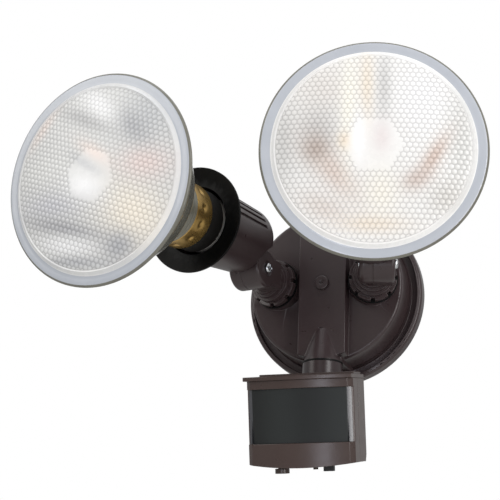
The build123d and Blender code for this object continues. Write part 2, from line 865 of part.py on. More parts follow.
with BuildPart() as swivel_arm:
    with BuildSketch(Plane.XY) as stem_profile:
        with BuildLine():
            Polyline(
                (0, ring_starts[2]),
                (ring_radii[2], ring_starts[2]),
                (ring_radii[2], ring_starts[1]),
                (ring_radii[1], ring_starts[1]),
                (ring_radii[1], ring_starts[0]),
                (ring_radii[0], ring_starts[0]),
                (ring_radii[0], rings_back),
                (nipple_radius, rings_back),
                (nipple_radius, nipple_end),
                (0, nipple_end),
                (0, ring_starts[2]),
            )
        make_face()
    revolve(axis=Axis.Y)
    with BuildSketch(side_of_arm) as knuckle_outline:
        Circle(knuckle_radius)
        with Locations(((ring_starts[2] + web_lap) / 2, 0)):
            Rectangle(ring_starts[2] + web_lap, 2 * knuckle_web)
    extrude(amount=knuckle_half)
    fillet(swivel_arm.faces().sort_by(Axis.X)[-1].edges(), knuckle_round)
    with BuildSketch(side_of_arm.offset(knuckle_half)) as screw_recess:
        Circle(screw_recess_radius)
    extrude(amount=-screw_recess_depth, mode=Mode.SUBTRACT)
    with BuildSketch(Plane.XZ.offset(-nipple_end)) as wire_way:
        Circle(wire_bore)
    extrude(amount=nipple_end - ring_starts[2], mode=Mode.SUBTRACT)
    with BuildSketch(side_of_arm) as arm_screw_hole:
        Circle(knuckle_screw_radius)
    extrude(amount=knuckle_half, mode=Mode.SUBTRACT)
write_pair(swivel_arm.part, "swivel_arm", arm_poses)

with BuildPart() as lock_nut:
    with BuildSketch(Plane.XZ.offset(-nut_seat)) as lock_nut_ring:
        Circle(lock_nut_radius)
        Circle(nipple_radius, mode=Mode.SUBTRACT)
        with PolarLocations(lock_nut_radius, lock_nut_notches):
            Rectangle(2 * lock_nut_notch_depth, lock_nut_notch_width, mode=Mode.SUBTRACT)
    extrude(amount=lock_nut_thick)
write_pair(lock_nut.part, "lock_nut", arm_poses)

with BuildPart() as stem_gasket:
    with BuildSketch(Plane.XZ.offset(-arm_reach)) as stem_gasket_ring:
        Circle(seat_radius)
        Circle(nipple_radius, mode=Mode.SUBTRACT)
    extrude(amount=stem_gasket_thick)
write_pair(stem_gasket.part, "stem_gasket", arm_poses)

with BuildPart() as inner_nut:
    with BuildSketch(Plane.XZ.offset(-arm_reach - seat_length - inner_nut_thick)) as inner_hexagon:
        RegularPolygon(inner_nut_flats / 2, 6, major_radius=False, rotation=30)
        Circle(nipple_radius, mode=Mode.SUBTRACT)
    extrude(amount=inner_nut_thick)
write_pair(inner_nut.part, "inner_nut", arm_poses)

# Pan-head screw through both halves of the knuckle, and its nut in the far side.
head_seat = knuckle_half - screw_recess_depth
with BuildPart() as knuckle_screw:
    with BuildSketch(side_of_arm.offset(-lug_half - screw_tip)) as screw_shank:
        Circle(knuckle_screw_radius)
    extrude(amount=head_seat + lug_half + screw_tip)
    with BuildSketch(side_of_arm.offset(head_seat)) as screw_head:
        Circle(screw_head_radius)
    extrude(amount=screw_head_thick)
    fillet(knuckle_screw.faces().sort_by(Axis.X)[-1].edges(), screw_head_thick / 2.5)
write_pair(knuckle_screw.part, "knuckle_screw", arm_poses)

with BuildPart() as knuckle_nut:
    with BuildSketch(side_of_arm.offset(-lug_half)) as nut_outline:
        RegularPolygon(nut_flats / 2, 6, major_radius=False)
        Circle(knuckle_screw_radius, mode=Mode.SUBTRACT)
    extrude(amount=nut_thick)
write_pair(knuckle_nut.part, "knuckle_nut", arm_poses)

# ------------------------------------------------------------------ lamp holder
# Turned body with its own half of the knuckle cast under its closed end.
lamp_axis = Plane(origin=(0, 0, lamp_offset), x_dir=(1, 0, 0), z_dir=(0, 0, 1))
lamp_line = Axis((0, 0, lamp_offset), (0, 1, 0))


def along_lamp(distance):
    """A plane across the lamp's axis at distance behind the knuckle, facing back."""
    return Plane(origin=(0, distance, lamp_offset), x_dir=(1, 0, 0), z_dir=(0, 1, 0))


def holder_side(distance):
    """Radius of the holder's drafted side at distance behind the knuckle."""
    return holder_rear_radius + side_slope * (holder_waist_y - distance)


holder_mouth = mouth_y + lip_lap
side_front = holder_mouth + mouth_thick + holder_step
side_slope = holder_draft / (holder_waist_y - side_front)
groove_front_y = mouth_y + side_groove_front
groove_back_y = holder_waist_y - side_groove_back
groove_front_radius = holder_side(groove_front_y)
groove_back_radius = holder_side(groove_back_y)
side_groove_planes = []
for angle in side_groove_angles:
    turn = math.radians(angle)
    side_groove_planes.append(
        Plane(
            origin=(0, 0, lamp_offset),
            x_dir=(math.cos(turn), 0, math.sin(turn)),
            z_dir=(-math.sin(turn), 0, math.cos(turn)),
        )
    )
with BuildPart() as lamp_holder:
    with BuildSketch(side_of_arm) as lug_outline:
        Circle(knuckle_radius)
        with Locations((0, lug_top / 2)):
            Rectangle(2 * knuckle_radius, lug_top)
    extrude(amount=-lug_half)
    fillet(lamp_holder.faces().sort_by(Axis.X)[0].edges(), lug_round)
    with BuildSketch(lamp_axis) as holder_profile:
        with BuildLine():
            Polyline(
                (0, holder_mouth),
                (mouth_radius, holder_mouth),
                (mouth_radius, holder_mouth + mouth_thick),
                (holder_front_radius, side_front),
                (holder_rear_radius, holder_waist_y),
            )
            ThreePointArc(
                (holder_rear_radius, holder_waist_y),
                (
                    (holder_rear_radius + holder_end_radius) / 2 + holder_end_bulge,
                    (holder_waist_y + holder_end) / 2 + holder_end_bulge,
                ),
                (holder_end_radius, holder_end),
            )
            Polyline((holder_end_radius, holder_end), (0, holder_end), (0, holder_mouth))
        make_face()
    revolve(axis=lamp_line)
    with BuildSketch(side_of_arm) as arm_room:
        Circle(knuckle_radius + knuckle_gap)
        with Locations((knuckle_radius, 0)):
            Rectangle(2 * knuckle_radius, 2 * (knuckle_radius + knuckle_gap))
    extrude(amount=holder_front_radius, mode=Mode.SUBTRACT)
    with BuildSketch(lamp_axis) as bore_profile:
        with BuildLine():
            Polyline(
                (0, mouth_y),
                (holder_inner_front, mouth_y),
                (holder_inner_front, mouth_y + mouth_thick + bore_step),
                (holder_inner_rear, holder_floor),
                (0, holder_floor),
                (0, mouth_y),
            )
        make_face()
    revolve(axis=lamp_line, mode=Mode.SUBTRACT)
    for groove_plane in side_groove_planes:
        with BuildSketch(groove_plane):
            with BuildLine():
                Polyline(
                    (groove_front_radius + side_groove_over, groove_front_y),
                    (groove_front_radius - side_groove_depth, groove_front_y),
                    (groove_back_radius - side_groove_depth, groove_back_y),
                    (groove_back_radius + side_groove_over, groove_back_y),
                    (groove_front_radius + side_groove_over, groove_front_y),
                )
            make_face()
        extrude(amount=side_groove_width / 2, both=True, mode=Mode.SUBTRACT)
    with BuildSketch(side_of_arm) as holder_screw_hole:
        Circle(knuckle_screw_radius + running_gap)
    extrude(amount=-lug_half, mode=Mode.SUBTRACT)
    with BuildSketch(side_of_arm.offset(-knuckle_half)) as nut_pocket:
        Circle(nut_pocket_radius)
    extrude(amount=knuckle_half - lug_half + nut_thick, mode=Mode.SUBTRACT)
write_pair(lamp_holder.part, "lamp_holder", holder_poses)

# Black rubber lip round the holder's mouth.
with BuildPart() as holder_gasket:
    with BuildSketch(lamp_axis) as gasket_profile:
        with BuildLine():
            Polyline(
                (holder_inner_front, holder_mouth),
                (mouth_radius, holder_mouth),
                (lip_radius, mouth_y - lip_reach + lip_thick),
                (lip_radius, mouth_y - lip_reach),
                (mouth_radius - lip_lap, mouth_y - lip_lap),
                (holder_inner_front - lip_lap, mouth_y - lip_lap),
                (holder_inner_front - lip_lap, holder_mouth),
                (holder_inner_front, holder_mouth),
            )
        make_face()
    revolve(axis=lamp_line)
write_pair(holder_gasket.part, "holder_gasket", holder_poses)

# Insulating socket on the holder's floor, its screw shell and centre contact.
shell_inner = cap_shell_radius + running_gap
shell_outer = shell_inner + shell_wall
shell_front = socket_front + shell_inset
shell_back = tip_y - shell_end_gap
with BuildPart() as socket_body:
    with BuildSketch(along_lamp(holder_floor)) as socket_round:
        Circle(socket_radius)
    extrude(amount=socket_front - holder_floor)
    with BuildSketch(along_lamp(shell_back)) as shell_seat:
        Circle(shell_outer)
    extrude(amount=socket_front - shell_back, mode=Mode.SUBTRACT)
    with BuildSketch(along_lamp(shell_back)) as tip_well:
        Circle(insulator_radius + well_gap)
    extrude(amount=socket_floor - shell_back, mode=Mode.SUBTRACT)
write_pair(socket_body.part, "socket_body", holder_poses)

with BuildPart() as socket_shell:
    with BuildSketch(along_lamp(shell_back)) as shell_ring:
        Circle(shell_outer)
        Circle(shell_inner, mode=Mode.SUBTRACT)
    extrude(amount=shell_front - shell_back)
write_pair(socket_shell.part, "socket_shell", holder_poses)

with BuildPart() as centre_contact:
    with BuildSketch(along_lamp(socket_floor)) as contact_post:
        Circle(contact_radius / 2)
    extrude(amount=tip_y + contact_gap + contact_thick - socket_floor)
    with BuildSketch(along_lamp(tip_y + contact_gap)) as contact_face:
        Circle(contact_radius)
    extrude(amount=contact_thick)
write_pair(centre_contact.part, "centre_contact", holder_poses)

# --------------------------------------------------------------- reflector lamp
rim_y = -rim_distance


def lamp_points(points):
    """Turn (radius, distance behind the rim) into places on the lamp's section."""
    return [(radius, rim_y + distance) for radius, distance in points]


with BuildPart() as lamp_lens:
    with BuildSketch(lamp_axis) as lens_profile:
        with BuildLine():
            Polyline(
                *lamp_points(
                    [
                        (rim_inner_radius, 0),
                        (lamp_rim_radius - rim_round, 0),
                        (lamp_rim_radius, rim_round),
                        (lamp_rim_radius, rim_thick),
                        (0, rim_thick),
                        (0, -lens_dome),
                    ]
                )
            )
            dome = lamp_points(
                [(0, -lens_dome), (rim_inner_radius / 2, -lens_dome * 0.75), (rim_inner_radius, 0)]
            )
            ThreePointArc(*dome)
        make_face()
    revolve(axis=lamp_line)
write_pair(lamp_lens.part, "lamp_lens", holder_poses)

# Deep bowl of glass, silvered inside, that narrows to the neck.
with BuildPart() as lamp_reflector:
    with BuildSketch(lamp_axis) as bowl_profile:
        with BuildLine():
            shoulder = lamp_rim_radius - bowl_step
            tube = bowl_neck_radius - neck_inset
            outer_curve = lamp_points(
                [
                    (shoulder, bowl_shoulder),
                    (bowl_mid_radius, bowl_mid_depth),
                    (bowl_neck_radius, bowl_neck_depth),
                ]
            )
            inner_curve = lamp_points(
                [
                    (bowl_neck_radius - glass_thick, bowl_neck_depth),
                    (bowl_mid_radius - glass_thick, bowl_mid_depth - glass_thick / 2),
                    (shoulder - glass_thick, bowl_shoulder),
                ]
            )
            Polyline(
                inner_curve[2],
                *lamp_points(
                    [
                        (shoulder - glass_thick, rim_thick),
                        (lamp_rim_radius, rim_thick),
                        (lamp_rim_radius, rim_thick + bowl_seam),
                    ]
                ),
                outer_curve[0],
            )
            ThreePointArc(*outer_curve)
            Polyline(
                outer_curve[2],
                *lamp_points(
                    [
                        (tube, skirt_front),
                        (tube, skirt_back - cap_lap - 1),
                        (tube - glass_thick, skirt_back - cap_lap - 1),
                        (tube - glass_thick, skirt_front),
                    ]
                ),
                inner_curve[0],
            )
            ThreePointArc(*inner_curve)
        make_face()
    revolve(axis=lamp_line)
write_pair(lamp_reflector.part, "lamp_reflector", holder_poses)

# Brass skirt crimped round the neck, stepping down to the screw cap.
with BuildPart() as lamp_skirt:
    with BuildSketch(lamp_axis) as skirt_profile:
        with BuildLine():
            Polyline(
                *lamp_points(
                    [
                        (skirt_radius - skirt_wall, skirt_front + skirt_wall),
                        (skirt_radius, skirt_front),
                        (skirt_radius, skirt_back - skirt_taper),
                        (cap_shell_radius + skirt_toe, skirt_back),
                        (cap_shell_radius, skirt_back),
                        (cap_shell_radius, skirt_back - skirt_wall),
                        (cap_shell_radius + skirt_toe, skirt_back - skirt_wall),
                        (skirt_radius - skirt_wall, skirt_back - skirt_taper - skirt_wall),
                        (skirt_radius - skirt_wall, skirt_front + skirt_wall),
                    ]
                )
            )
        make_face()
    revolve(axis=lamp_line)
write_pair(lamp_skirt.part, "lamp_skirt", holder_poses)

with BuildPart() as lamp_cap:
    with BuildSketch(lamp_axis) as cap_profile:
        with BuildLine():
            Polyline(
                *lamp_points(
                    [
                        (cap_shell_radius - skirt_wall, skirt_back - cap_lap),
                        (cap_shell_radius, skirt_back - cap_lap),
                        (cap_shell_radius, cap_shell_back - cap_cone),
                        (insulator_radius, cap_shell_back),
                        (insulator_radius - skirt_wall, cap_shell_back),
                        (insulator_radius - skirt_wall, cap_shell_back - skirt_wall),
                        (cap_shell_radius - skirt_wall, cap_shell_back - cap_cone - skirt_wall),
                        (cap_shell_radius - skirt_wall, skirt_back - cap_lap),
                    ]
                )
            )
        make_face()
    revolve(axis=lamp_line)
write_pair(lamp_cap.part, "lamp_cap", holder_poses)

with BuildPart() as lamp_insulator:
    with BuildSketch(lamp_axis) as insulator_profile:
        with BuildLine():
            Polyline(
                *lamp_points(
                    [
                        (0, cap_shell_back - insulator_depth),
                        (insulator_radius - skirt_wall, cap_shell_back - insulator_depth),
                        (insulator_radius - skirt_wall, cap_shell_back),
                        (insulator_radius, cap_shell_back),
                        (tip_radius, tip_back - tip_thick),
                        (0, tip_back - tip_thick),
                        (0, cap_shell_back - insulator_depth),
                    ]
                )
            )
        make_face()
    revolve(axis=lamp_line)
write_pair(lamp_insulator.part, "lamp_insulator", holder_poses)

with BuildPart() as lamp_tip:
    with BuildSketch(along_lamp(tip_y)) as tip_round:
        Circle(tip_radius)
    extrude(amount=-tip_thick)
    fillet(lamp_tip.faces().sort_by(Axis.Y)[-1].edges(), tip_thick / 2)
write_pair(lamp_tip.part, "lamp_tip", holder_poses)

# Halogen capsule at the bowl's focus, on two posts that stand in a disc in the neck.
neck_inner = bowl_neck_radius - neck_inset - glass_thick
with BuildPart() as lamp_capsule:
    with BuildSketch(along_lamp(rim_y + skirt_front)) as capsule_disc:
        Circle(neck_inner)
    extrude(amount=capsule_disc_thick)
    with BuildSketch(along_lamp(rim_y + skirt_front)) as capsule_posts:
        with Locations(
            (-capsule_radius + capsule_post_inset, 0),
            (capsule_radius - capsule_post_inset, 0),
        ):
            Circle(capsule_post_radius)
    extrude(amount=-capsule_stand - capsule_post_radius)
    with BuildSketch(along_lamp(rim_y + skirt_front - capsule_stand)) as capsule_tube:
        Circle(capsule_radius)
    extrude(amount=capsule_front - skirt_front + capsule_stand)
    fillet(lamp_capsule.faces().sort_by(Axis.Y)[0].edges(), capsule_radius * 0.7)
write_pair(lamp_capsule.part, "lamp_capsule", holder_poses)
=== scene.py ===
import json
import math

import bmesh
import bpy
from mathutils import Matrix, Vector


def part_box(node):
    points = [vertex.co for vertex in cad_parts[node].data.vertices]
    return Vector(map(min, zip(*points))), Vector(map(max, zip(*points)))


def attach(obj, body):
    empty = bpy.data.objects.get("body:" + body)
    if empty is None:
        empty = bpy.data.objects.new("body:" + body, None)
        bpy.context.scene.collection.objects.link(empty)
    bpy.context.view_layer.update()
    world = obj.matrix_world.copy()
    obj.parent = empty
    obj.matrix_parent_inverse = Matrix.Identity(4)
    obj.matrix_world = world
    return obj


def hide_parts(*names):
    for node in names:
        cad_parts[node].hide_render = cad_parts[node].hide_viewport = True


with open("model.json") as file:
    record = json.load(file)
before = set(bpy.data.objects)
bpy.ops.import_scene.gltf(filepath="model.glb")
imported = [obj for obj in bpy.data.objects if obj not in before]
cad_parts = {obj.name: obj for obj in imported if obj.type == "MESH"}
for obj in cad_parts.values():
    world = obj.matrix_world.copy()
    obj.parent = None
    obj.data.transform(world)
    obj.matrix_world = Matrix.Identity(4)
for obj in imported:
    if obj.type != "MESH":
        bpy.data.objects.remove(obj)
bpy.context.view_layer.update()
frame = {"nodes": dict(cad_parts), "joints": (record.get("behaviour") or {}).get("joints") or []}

# ------------------------------------------------------------------ studio
# A product tent: white behind the light and a pale floor below it, dimmer
# walls in front, a large soft light on the right and weaker ones elsewhere.


def linear(hex_colour):
    """An sRGB hex colour as the linear RGBA that the shaders take."""
    channels = [int(hex_colour[i : i + 2], 16) / 255 for i in (1, 3, 5)]
    return [c / 12.92 if c <= 0.04045 else ((c + 0.055) / 1.055) ** 2.4 for c in channels] + [1.0]


def node(tree, kind, inputs=None, **settings):
    """Adds one node; an input is a value, or another node's output to link."""
    made = tree.nodes.new(kind)
    for name, value in settings.items():
        setattr(made, name, value)
    for name, value in (inputs or {}).items():
        if isinstance(value, bpy.types.NodeSocket):
            tree.links.new(value, made.inputs[name])
        else:
            made.inputs[name].default_value = value
    return made


tent = bpy.data.worlds.new("white_tent")
tent.use_nodes = True
tree = tent.node_tree
tree.nodes.clear()
tent_direction = node(tree, "ShaderNodeTexCoord").outputs["Generated"]
tent_height = node(tree, "ShaderNodeSeparateXYZ", {"Vector": tent_direction}).outputs["Z"]
tent_shade = node(
    tree,
    "ShaderNodeMapRange",
    {"Value": tent_height, "From Min": -0.6, "From Max": 0.8, "To Min": 0.22, "To Max": 0.8},
    interpolation_type="SMOOTHSTEP",
)
tent_light = node(tree, "ShaderNodeBackground", {"Strength": tent_shade.outputs["Result"]})
tent_wall = node(tree, "ShaderNodeBackground", {"Color": linear("#ffffff"), "Strength": 1.0})
tent_seen = node(
    tree,
    "ShaderNodeMixShader",
    {
        0: node(tree, "ShaderNodeLightPath").outputs["Is Camera Ray"],
        1: tent_light.outputs[0],
        2: tent_wall.outputs[0],
    },
)
node(tree, "ShaderNodeOutputWorld", {"Surface": tent_seen.outputs[0]})
bpy.context.scene.world = tent
bpy.context.scene.view_settings.view_transform = "Standard"

light_middle = Vector((0.0, -0.12, -0.02))
for name, place, size, watts, tint in (
    ("soft_box_right", (1.15, -0.95, 0.12), (0.45, 1.3), 9.5, "#fffdfd"),
    ("soft_strip_front", (0.12, -1.6, -0.42), (0.26, 0.7), 3.0, "#eef2ff"),
    ("soft_box_left", (-1.2, -1.2, 0.75), (1.0, 1.0), 7.5, "#fffdf8"),
    ("soft_box_top", (0.1, -0.4, 1.4), (1.2, 0.8), 4.0, "#f6f9ff"),
):
    lamp = bpy.data.lights.new(name, "AREA")
    lamp.shape, lamp.size, lamp.size_y = "RECTANGLE", size[0], size[1]
    lamp.energy, lamp.color = watts, linear(tint)[:3]
    stand = bpy.data.objects.new(name, lamp)
    stand.location = place
    stand.rotation_euler = (light_middle - Vector(place)).to_track_quat("-Z", "Y").to_euler()
    bpy.context.scene.collection.objects.link(stand)

floor_half, floor_level = 4.0, -1.0
floor_corners = [(x * floor_half, y * floor_half) for x, y in ((-1, -1), (1, -1), (1, 1), (-1, 1))]
floor_mesh = bpy.data.meshes.new("studio_floor")
floor_mesh.from_pydata([(x, y, floor_level) for x, y in floor_corners], [], [(0, 1, 2, 3)])
studio_floor = bpy.data.objects.new("studio_floor", floor_mesh)
bpy.context.scene.collection.objects.link(studio_floor)
floor_paint = bpy.data.materials.new("matt_white_floor_paint")
floor_paint.use_nodes = True
floor_shader = floor_paint.node_tree.nodes["Principled BSDF"]
floor_shader.inputs["Base Color"].default_value = linear("#d8d7d4")
floor_shader.inputs["Roughness"].default_value = 0.9
floor_mesh.materials.append(floor_paint)

# The camera stands where the photo was taken from: in front, low on the right.
photo_camera = bpy.data.cameras.new("photo_camera")
photo_camera.lens, photo_camera.sensor_width = 129.6, 36.0
photo_camera.clip_start, photo_camera.clip_end = 0.05, 20.0
tripod = bpy.data.objects.new("photo_camera", photo_camera)
camera_place = Vector((0.28430, -1.08704, -0.32173))
camera_right = Vector((0.9555, 0.2933, 0.0313)).normalized()
camera_back = Vector((0.2888, -0.9088, -0.3010)).normalized()
camera_up = camera_back.cross(camera_right).normalized()
camera_right = camera_up.cross(camera_back)
camera_turn = Matrix((camera_right, camera_up, camera_back)).transposed().to_4x4()
tripod.matrix_world = Matrix.Translation(camera_place) @ camera_turn
bpy.context.scene.collection.objects.link(tripod)
bpy.context.scene.camera = tripod

# ------------------------------------------------------------ canopy casting
# The round cover that carries everything: die-cast zinc alloy, tumbled so its
# edges are slightly round, then powder-coated dark bronze and baked.
MM = 0.001


def finish(name):
    """A new empty material, its tree, and the piece's own coordinates in it."""
    material = bpy.data.materials.new(name)
    material.use_nodes = True
    material.node_tree.nodes.clear()
    place = node(material.node_tree, "ShaderNodeTexCoord").outputs["Object"]
    return material, material.node_tree, place


# Polyester powder coat, dark bronze: dielectric, satin, with the fine orange
# peel that powder leaves as it flows, so highlights have soft broken edges.
powder_coat, tree, place = finish("dark_bronze_powder_coat")
cloud = node(tree, "ShaderNodeTexNoise", {"Vector": place, "Scale": 1 / (22 * MM), "Detail": 3.0})
tone = node(
    tree,
    "ShaderNodeMix",
    {"Factor": cloud.outputs["Fac"], 6: linear("#352a2b"), 7: linear("#3f3334")},
    data_type="RGBA",
)
wiped = node(tree, "ShaderNodeTexNoise", {"Vector": place, "Scale": 1 / (7 * MM), "Detail": 2.0})
satin = node(
    tree, "ShaderNodeMapRange", {"Value": wiped.outputs["Fac"], "To Min": 0.25, "To Max": 0.34}
)
peel = node(tree, "ShaderNodeTexNoise", {"Vector": place, "Scale": 1 / (1.1 * MM), "Detail": 1.0})
orange_peel = node(tree, "ShaderNodeBump", {"Height": peel.outputs["Fac"], "Distance": 0.012 * MM})
paint = node(
    tree,
    "ShaderNodeBsdfPrincipled",
    {
        "Base Color": tone.outputs[2],
        "Roughness": satin.outputs["Result"],
        "IOR": 1.5,
        "Normal": orange_peel.outputs["Normal"],
    },
)
node(tree, "ShaderNodeOutputMaterial", {"Surface": paint.outputs["BSDF"]})


# Points closer than the first are one point, faces that turn less than the
# second are one face, and edges that turn more than the third are rounded.
weld_mm, flat_degrees, sharp_degrees = 0.002, 0.6, 32


def rounded(name, part, finish_of, body, edge_mm=0.3, cutter=None, under=()):
    """A CAD piece made again as one welded mesh with its edges rounded.

    Edges that the pieces named in under cover stay sharp.
    """
    mesh = bpy.data.meshes.new(name)
    work = bmesh.new()
    work.from_mesh(frame["nodes"][part].data)
    bmesh.ops.remove_doubles(work, verts=work.verts, dist=weld_mm * MM)
    flat = math.radians(flat_degrees)
    bmesh.ops.dissolve_limit(work, angle_limit=flat, verts=work.verts, edges=work.edges)
    bmesh.ops.triangulate(work, faces=[f for f in work.faces if len(f.verts) > 4])
    work.to_mesh(mesh)
    work.free()
    for layer in ("custom_normal", "sharp_edge", "sharp_face"):
        if layer in mesh.attributes:
            mesh.attributes.remove(mesh.attributes[layer])
    mesh.shade_smooth()
    mesh.materials.clear()
    mesh.materials.append(finish_of)
    piece = bpy.data.objects.new(name, mesh)
    bpy.context.scene.collection.objects.link(piece)
    if cutter:
        cut = piece.modifiers.new("cut", "BOOLEAN")
        cut.object, cut.solver = cutter, "EXACT"
        carved = piece.evaluated_get(bpy.context.evaluated_depsgraph_get())
        piece.data = bpy.data.meshes.new_from_object(carved)
        piece.modifiers.remove(cut)

    covers = [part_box(cover) for cover in under]
    work = bmesh.new()
    work.from_mesh(piece.data)
    weight = work.edges.layers.float.new("bevel_weight_edge")
    for edge in work.edges:
        if edge.calc_face_angle(0.0) > math.radians(sharp_degrees):
            middle = (edge.verts[0].co + edge.verts[1].co) / 2
            covered = any(all(a[k] < middle[k] < b[k] for k in (0, 2)) for a, b in covers)
            edge[weight], edge.smooth = (0.0, False) if covered else (1.0, True)
    work.to_mesh(piece.data)
    work.free()
    tumbled = piece.modifiers.new("tumbled_edges", "BEVEL")
    tumbled.width, tumbled.segments, tumbled.limit_method = edge_mm * MM, 2, "WEIGHT"
    tumbled.use_clamp_overlap = False
    flow = piece.modifiers.new("even_shading", "WEIGHTED_NORMAL")
    flow.keep_sharp = True
    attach(piece, body)
    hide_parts(part)


def dress(names, finish_of):
    """CAD pieces whose shape is right keep it and take their finish."""
    for name in names:
        frame["nodes"][name].material_slots[0].material = finish_of


nuts = ("centre_cap", "left_lock_nut", "right_lock_nut")
rounded("canopy_casting", "canopy", powder_coat, "canopy", 0.6, under=nuts)

# ------------------------------------------------------- what fixes it to the wall
# Foam ring, steel strap and stud, and the low cap nut on the band. The strap
# and stud are zinc-plated; the nut is coated with the canopy.

# Zinc plate, clear passivated: bluish white metal with a faint spangle.
zinc_plate, tree, place = finish("zinc_plated_steel")
spangle = node(tree, "ShaderNodeTexNoise", {"Vector": place, "Scale": 1 / (3 * MM), "Detail": 3.0})
tone = node(
    tree,
    "ShaderNodeMix",
    {"Factor": spangle.outputs["Fac"], 6: linear("#9fa4a9"), 7: linear("#cdd0d3")},
    data_type="RGBA",
)
dull = node(
    tree, "ShaderNodeMapRange", {"Value": spangle.outputs["Fac"], "To Min": 0.26, "To Max": 0.44}
)
crystals = node(tree, "ShaderNodeBump", {"Height": spangle.outputs["Fac"], "Distance": 0.006 * MM})
plate = node(
    tree,
    "ShaderNodeBsdfPrincipled",
    {
        "Base Color": tone.outputs[2],
        "Metallic": 1.0,
        "Roughness": dull.outputs["Result"],
        "Normal": crystals.outputs["Normal"],
    },
)
node(tree, "ShaderNodeOutputMaterial", {"Surface": plate.outputs["BSDF"]})

# Closed-cell EPDM foam, cut from sheet: dull black, pores about 0.5 mm.
foam, tree, place = finish("closed_cell_foam")
pores = node(tree, "ShaderNodeTexVoronoi", {"Vector": place, "Scale": 1 / (0.5 * MM)})
tone = node(
    tree,
    "ShaderNodeMix",
    {"Factor": pores.outputs["Distance"], 6: linear("#0a0a0a"), 7: linear("#333331")},
    data_type="RGBA",
)
cells = node(tree, "ShaderNodeBump", {"Height": pores.outputs["Distance"], "Distance": 0.08 * MM})
sheet = node(
    tree,
    "ShaderNodeBsdfPrincipled",
    {"Base Color": tone.outputs[2], "Roughness": 0.95, "Normal": cells.outputs["Normal"]},
)
node(tree, "ShaderNodeOutputMaterial", {"Surface": sheet.outputs["BSDF"]})

# Moulded EPDM rubber: black, matt, with a faint grey bloom.
rubber, tree, place = finish("black_epdm_rubber")
bloom = node(tree, "ShaderNodeTexNoise", {"Vector": place, "Scale": 1 / (9 * MM), "Detail": 3.0})
tone = node(
    tree,
    "ShaderNodeMix",
    {"Factor": bloom.outputs["Fac"], 6: linear("#030303"), 7: linear("#090a0a")},
    data_type="RGBA",
)
matt = node(
    tree, "ShaderNodeMapRange", {"Value": bloom.outputs["Fac"], "To Min": 0.42, "To Max": 0.6}
)
skin = node(tree, "ShaderNodeTexNoise", {"Vector": place, "Scale": 1 / (0.5 * MM), "Detail": 2.0})
mould_skin = node(tree, "ShaderNodeBump", {"Height": skin.outputs["Fac"], "Distance": 0.006 * MM})
moulding = node(
    tree,
    "ShaderNodeBsdfPrincipled",
    {
        "Base Color": tone.outputs[2],
        "Roughness": matt.outputs["Result"],
        "Specular IOR Level": 0.2,
        "Normal": mould_skin.outputs["Normal"],
    },
)
node(tree, "ShaderNodeOutputMaterial", {"Surface": moulding.outputs["BSDF"]})

dress(["canopy_gasket"], foam)
dress(["mounting_strap", "centre_bolt", "neck_nut", "tilt_pin"], zinc_plate)
dress(["neck_seal"], rubber)
rounded("cap_nut", "centre_cap", powder_coat, "canopy", 0.35)

# ------------------------------------------------------------- sensor's neck
# A die-cast ball neck with a turned stem, coated like the canopy. It turns
# under the hood on a black seal.
rounded("ball_neck", "sensor_neck", powder_coat, "sensor_neck", 0.25)

# --------------------------------------------------------------- sensor head
# Three mouldings in bronze ABS: back shell, front frame and top cover. The
# lens wraps the frame's front corners, and two screws hold the halves. The head
# is pitched in degrees, and its sizes are in its own millimetres.
head_pitch, head_middle, head_half = 12.5, -8.0, 33.5
window_half, window_top, window_foot = 30.35, -2.25, -35.35
frame_front, bevel_start, bevel_slope = -26.6, 1.5, 0.7
cut_front, cut_past_side, cut_past_window = -36.0, 2.0, 0.4

# Moulded ABS, bronze: smoother than the coated metal, satin, with the very
# fine spark-eroded texture of the mould.
bronze_abs, tree, place = finish("moulded_bronze_abs")
flow_marks = node(
    tree, "ShaderNodeTexNoise", {"Vector": place, "Scale": 1 / (30 * MM), "Detail": 2.0}
)
tone = node(
    tree,
    "ShaderNodeMix",
    {"Factor": flow_marks.outputs["Fac"], 6: linear("#40332f"), 7: linear("#4a3b37")},
    data_type="RGBA",
)
handled = node(tree, "ShaderNodeTexNoise", {"Vector": place, "Scale": 1 / (8 * MM), "Detail": 2.0})
satin = node(
    tree, "ShaderNodeMapRange", {"Value": handled.outputs["Fac"], "To Min": 0.24, "To Max": 0.34}
)
spark = node(tree, "ShaderNodeTexNoise", {"Vector": place, "Scale": 1 / (0.45 * MM), "Detail": 1.0})
mould_grain = node(tree, "ShaderNodeBump", {"Height": spark.outputs["Fac"], "Distance": 0.004 * MM})
moulding = node(
    tree,
    "ShaderNodeBsdfPrincipled",
    {
        "Base Color": tone.outputs[2],
        "Roughness": satin.outputs["Result"],
        "IOR": 1.53,
        "Normal": mould_grain.outputs["Normal"],
    },
)
node(tree, "ShaderNodeOutputMaterial", {"Surface": moulding.outputs["BSDF"]})


def joint(name):
    """A joint's own record, with its point and axis at rest."""
    return next(j for j in frame["joints"] if j["name"] == name)


# The head's own millimetres: x to the right, y to the back, z up its sides. The
# frame's front corners are bevelled along the window, so they are cut there.
head_place = (
    Matrix.Translation(joint("sensor_tilt")["pos_m"])
    @ Matrix.Rotation(math.radians(head_pitch), 4, "X")
    @ Matrix.Scale(MM, 4)
)
wedge_faces = ((3, 2, 1, 0), (4, 5, 6, 7), (0, 1, 5, 4), (1, 2, 6, 5), (2, 3, 7, 6), (3, 0, 4, 7))
corner_points, corner_faces = [], []
for side in (-1, 1):
    near, far = side * (window_half - cut_past_window), side * (head_half + cut_past_side)
    inner = frame_front + bevel_start
    outer = inner + bevel_slope * abs(far - near)
    start = len(corner_points)
    for z in (window_foot, window_top):
        for x, y in ((near, cut_front), (far, cut_front), (far, outer), (near, inner))[::side]:
            corner_points.append(head_place @ Vector((head_middle + x, y, z)))
    corner_faces += [tuple(start + v for v in face) for face in wedge_faces]
corner_mesh = bpy.data.meshes.new("front_corners")
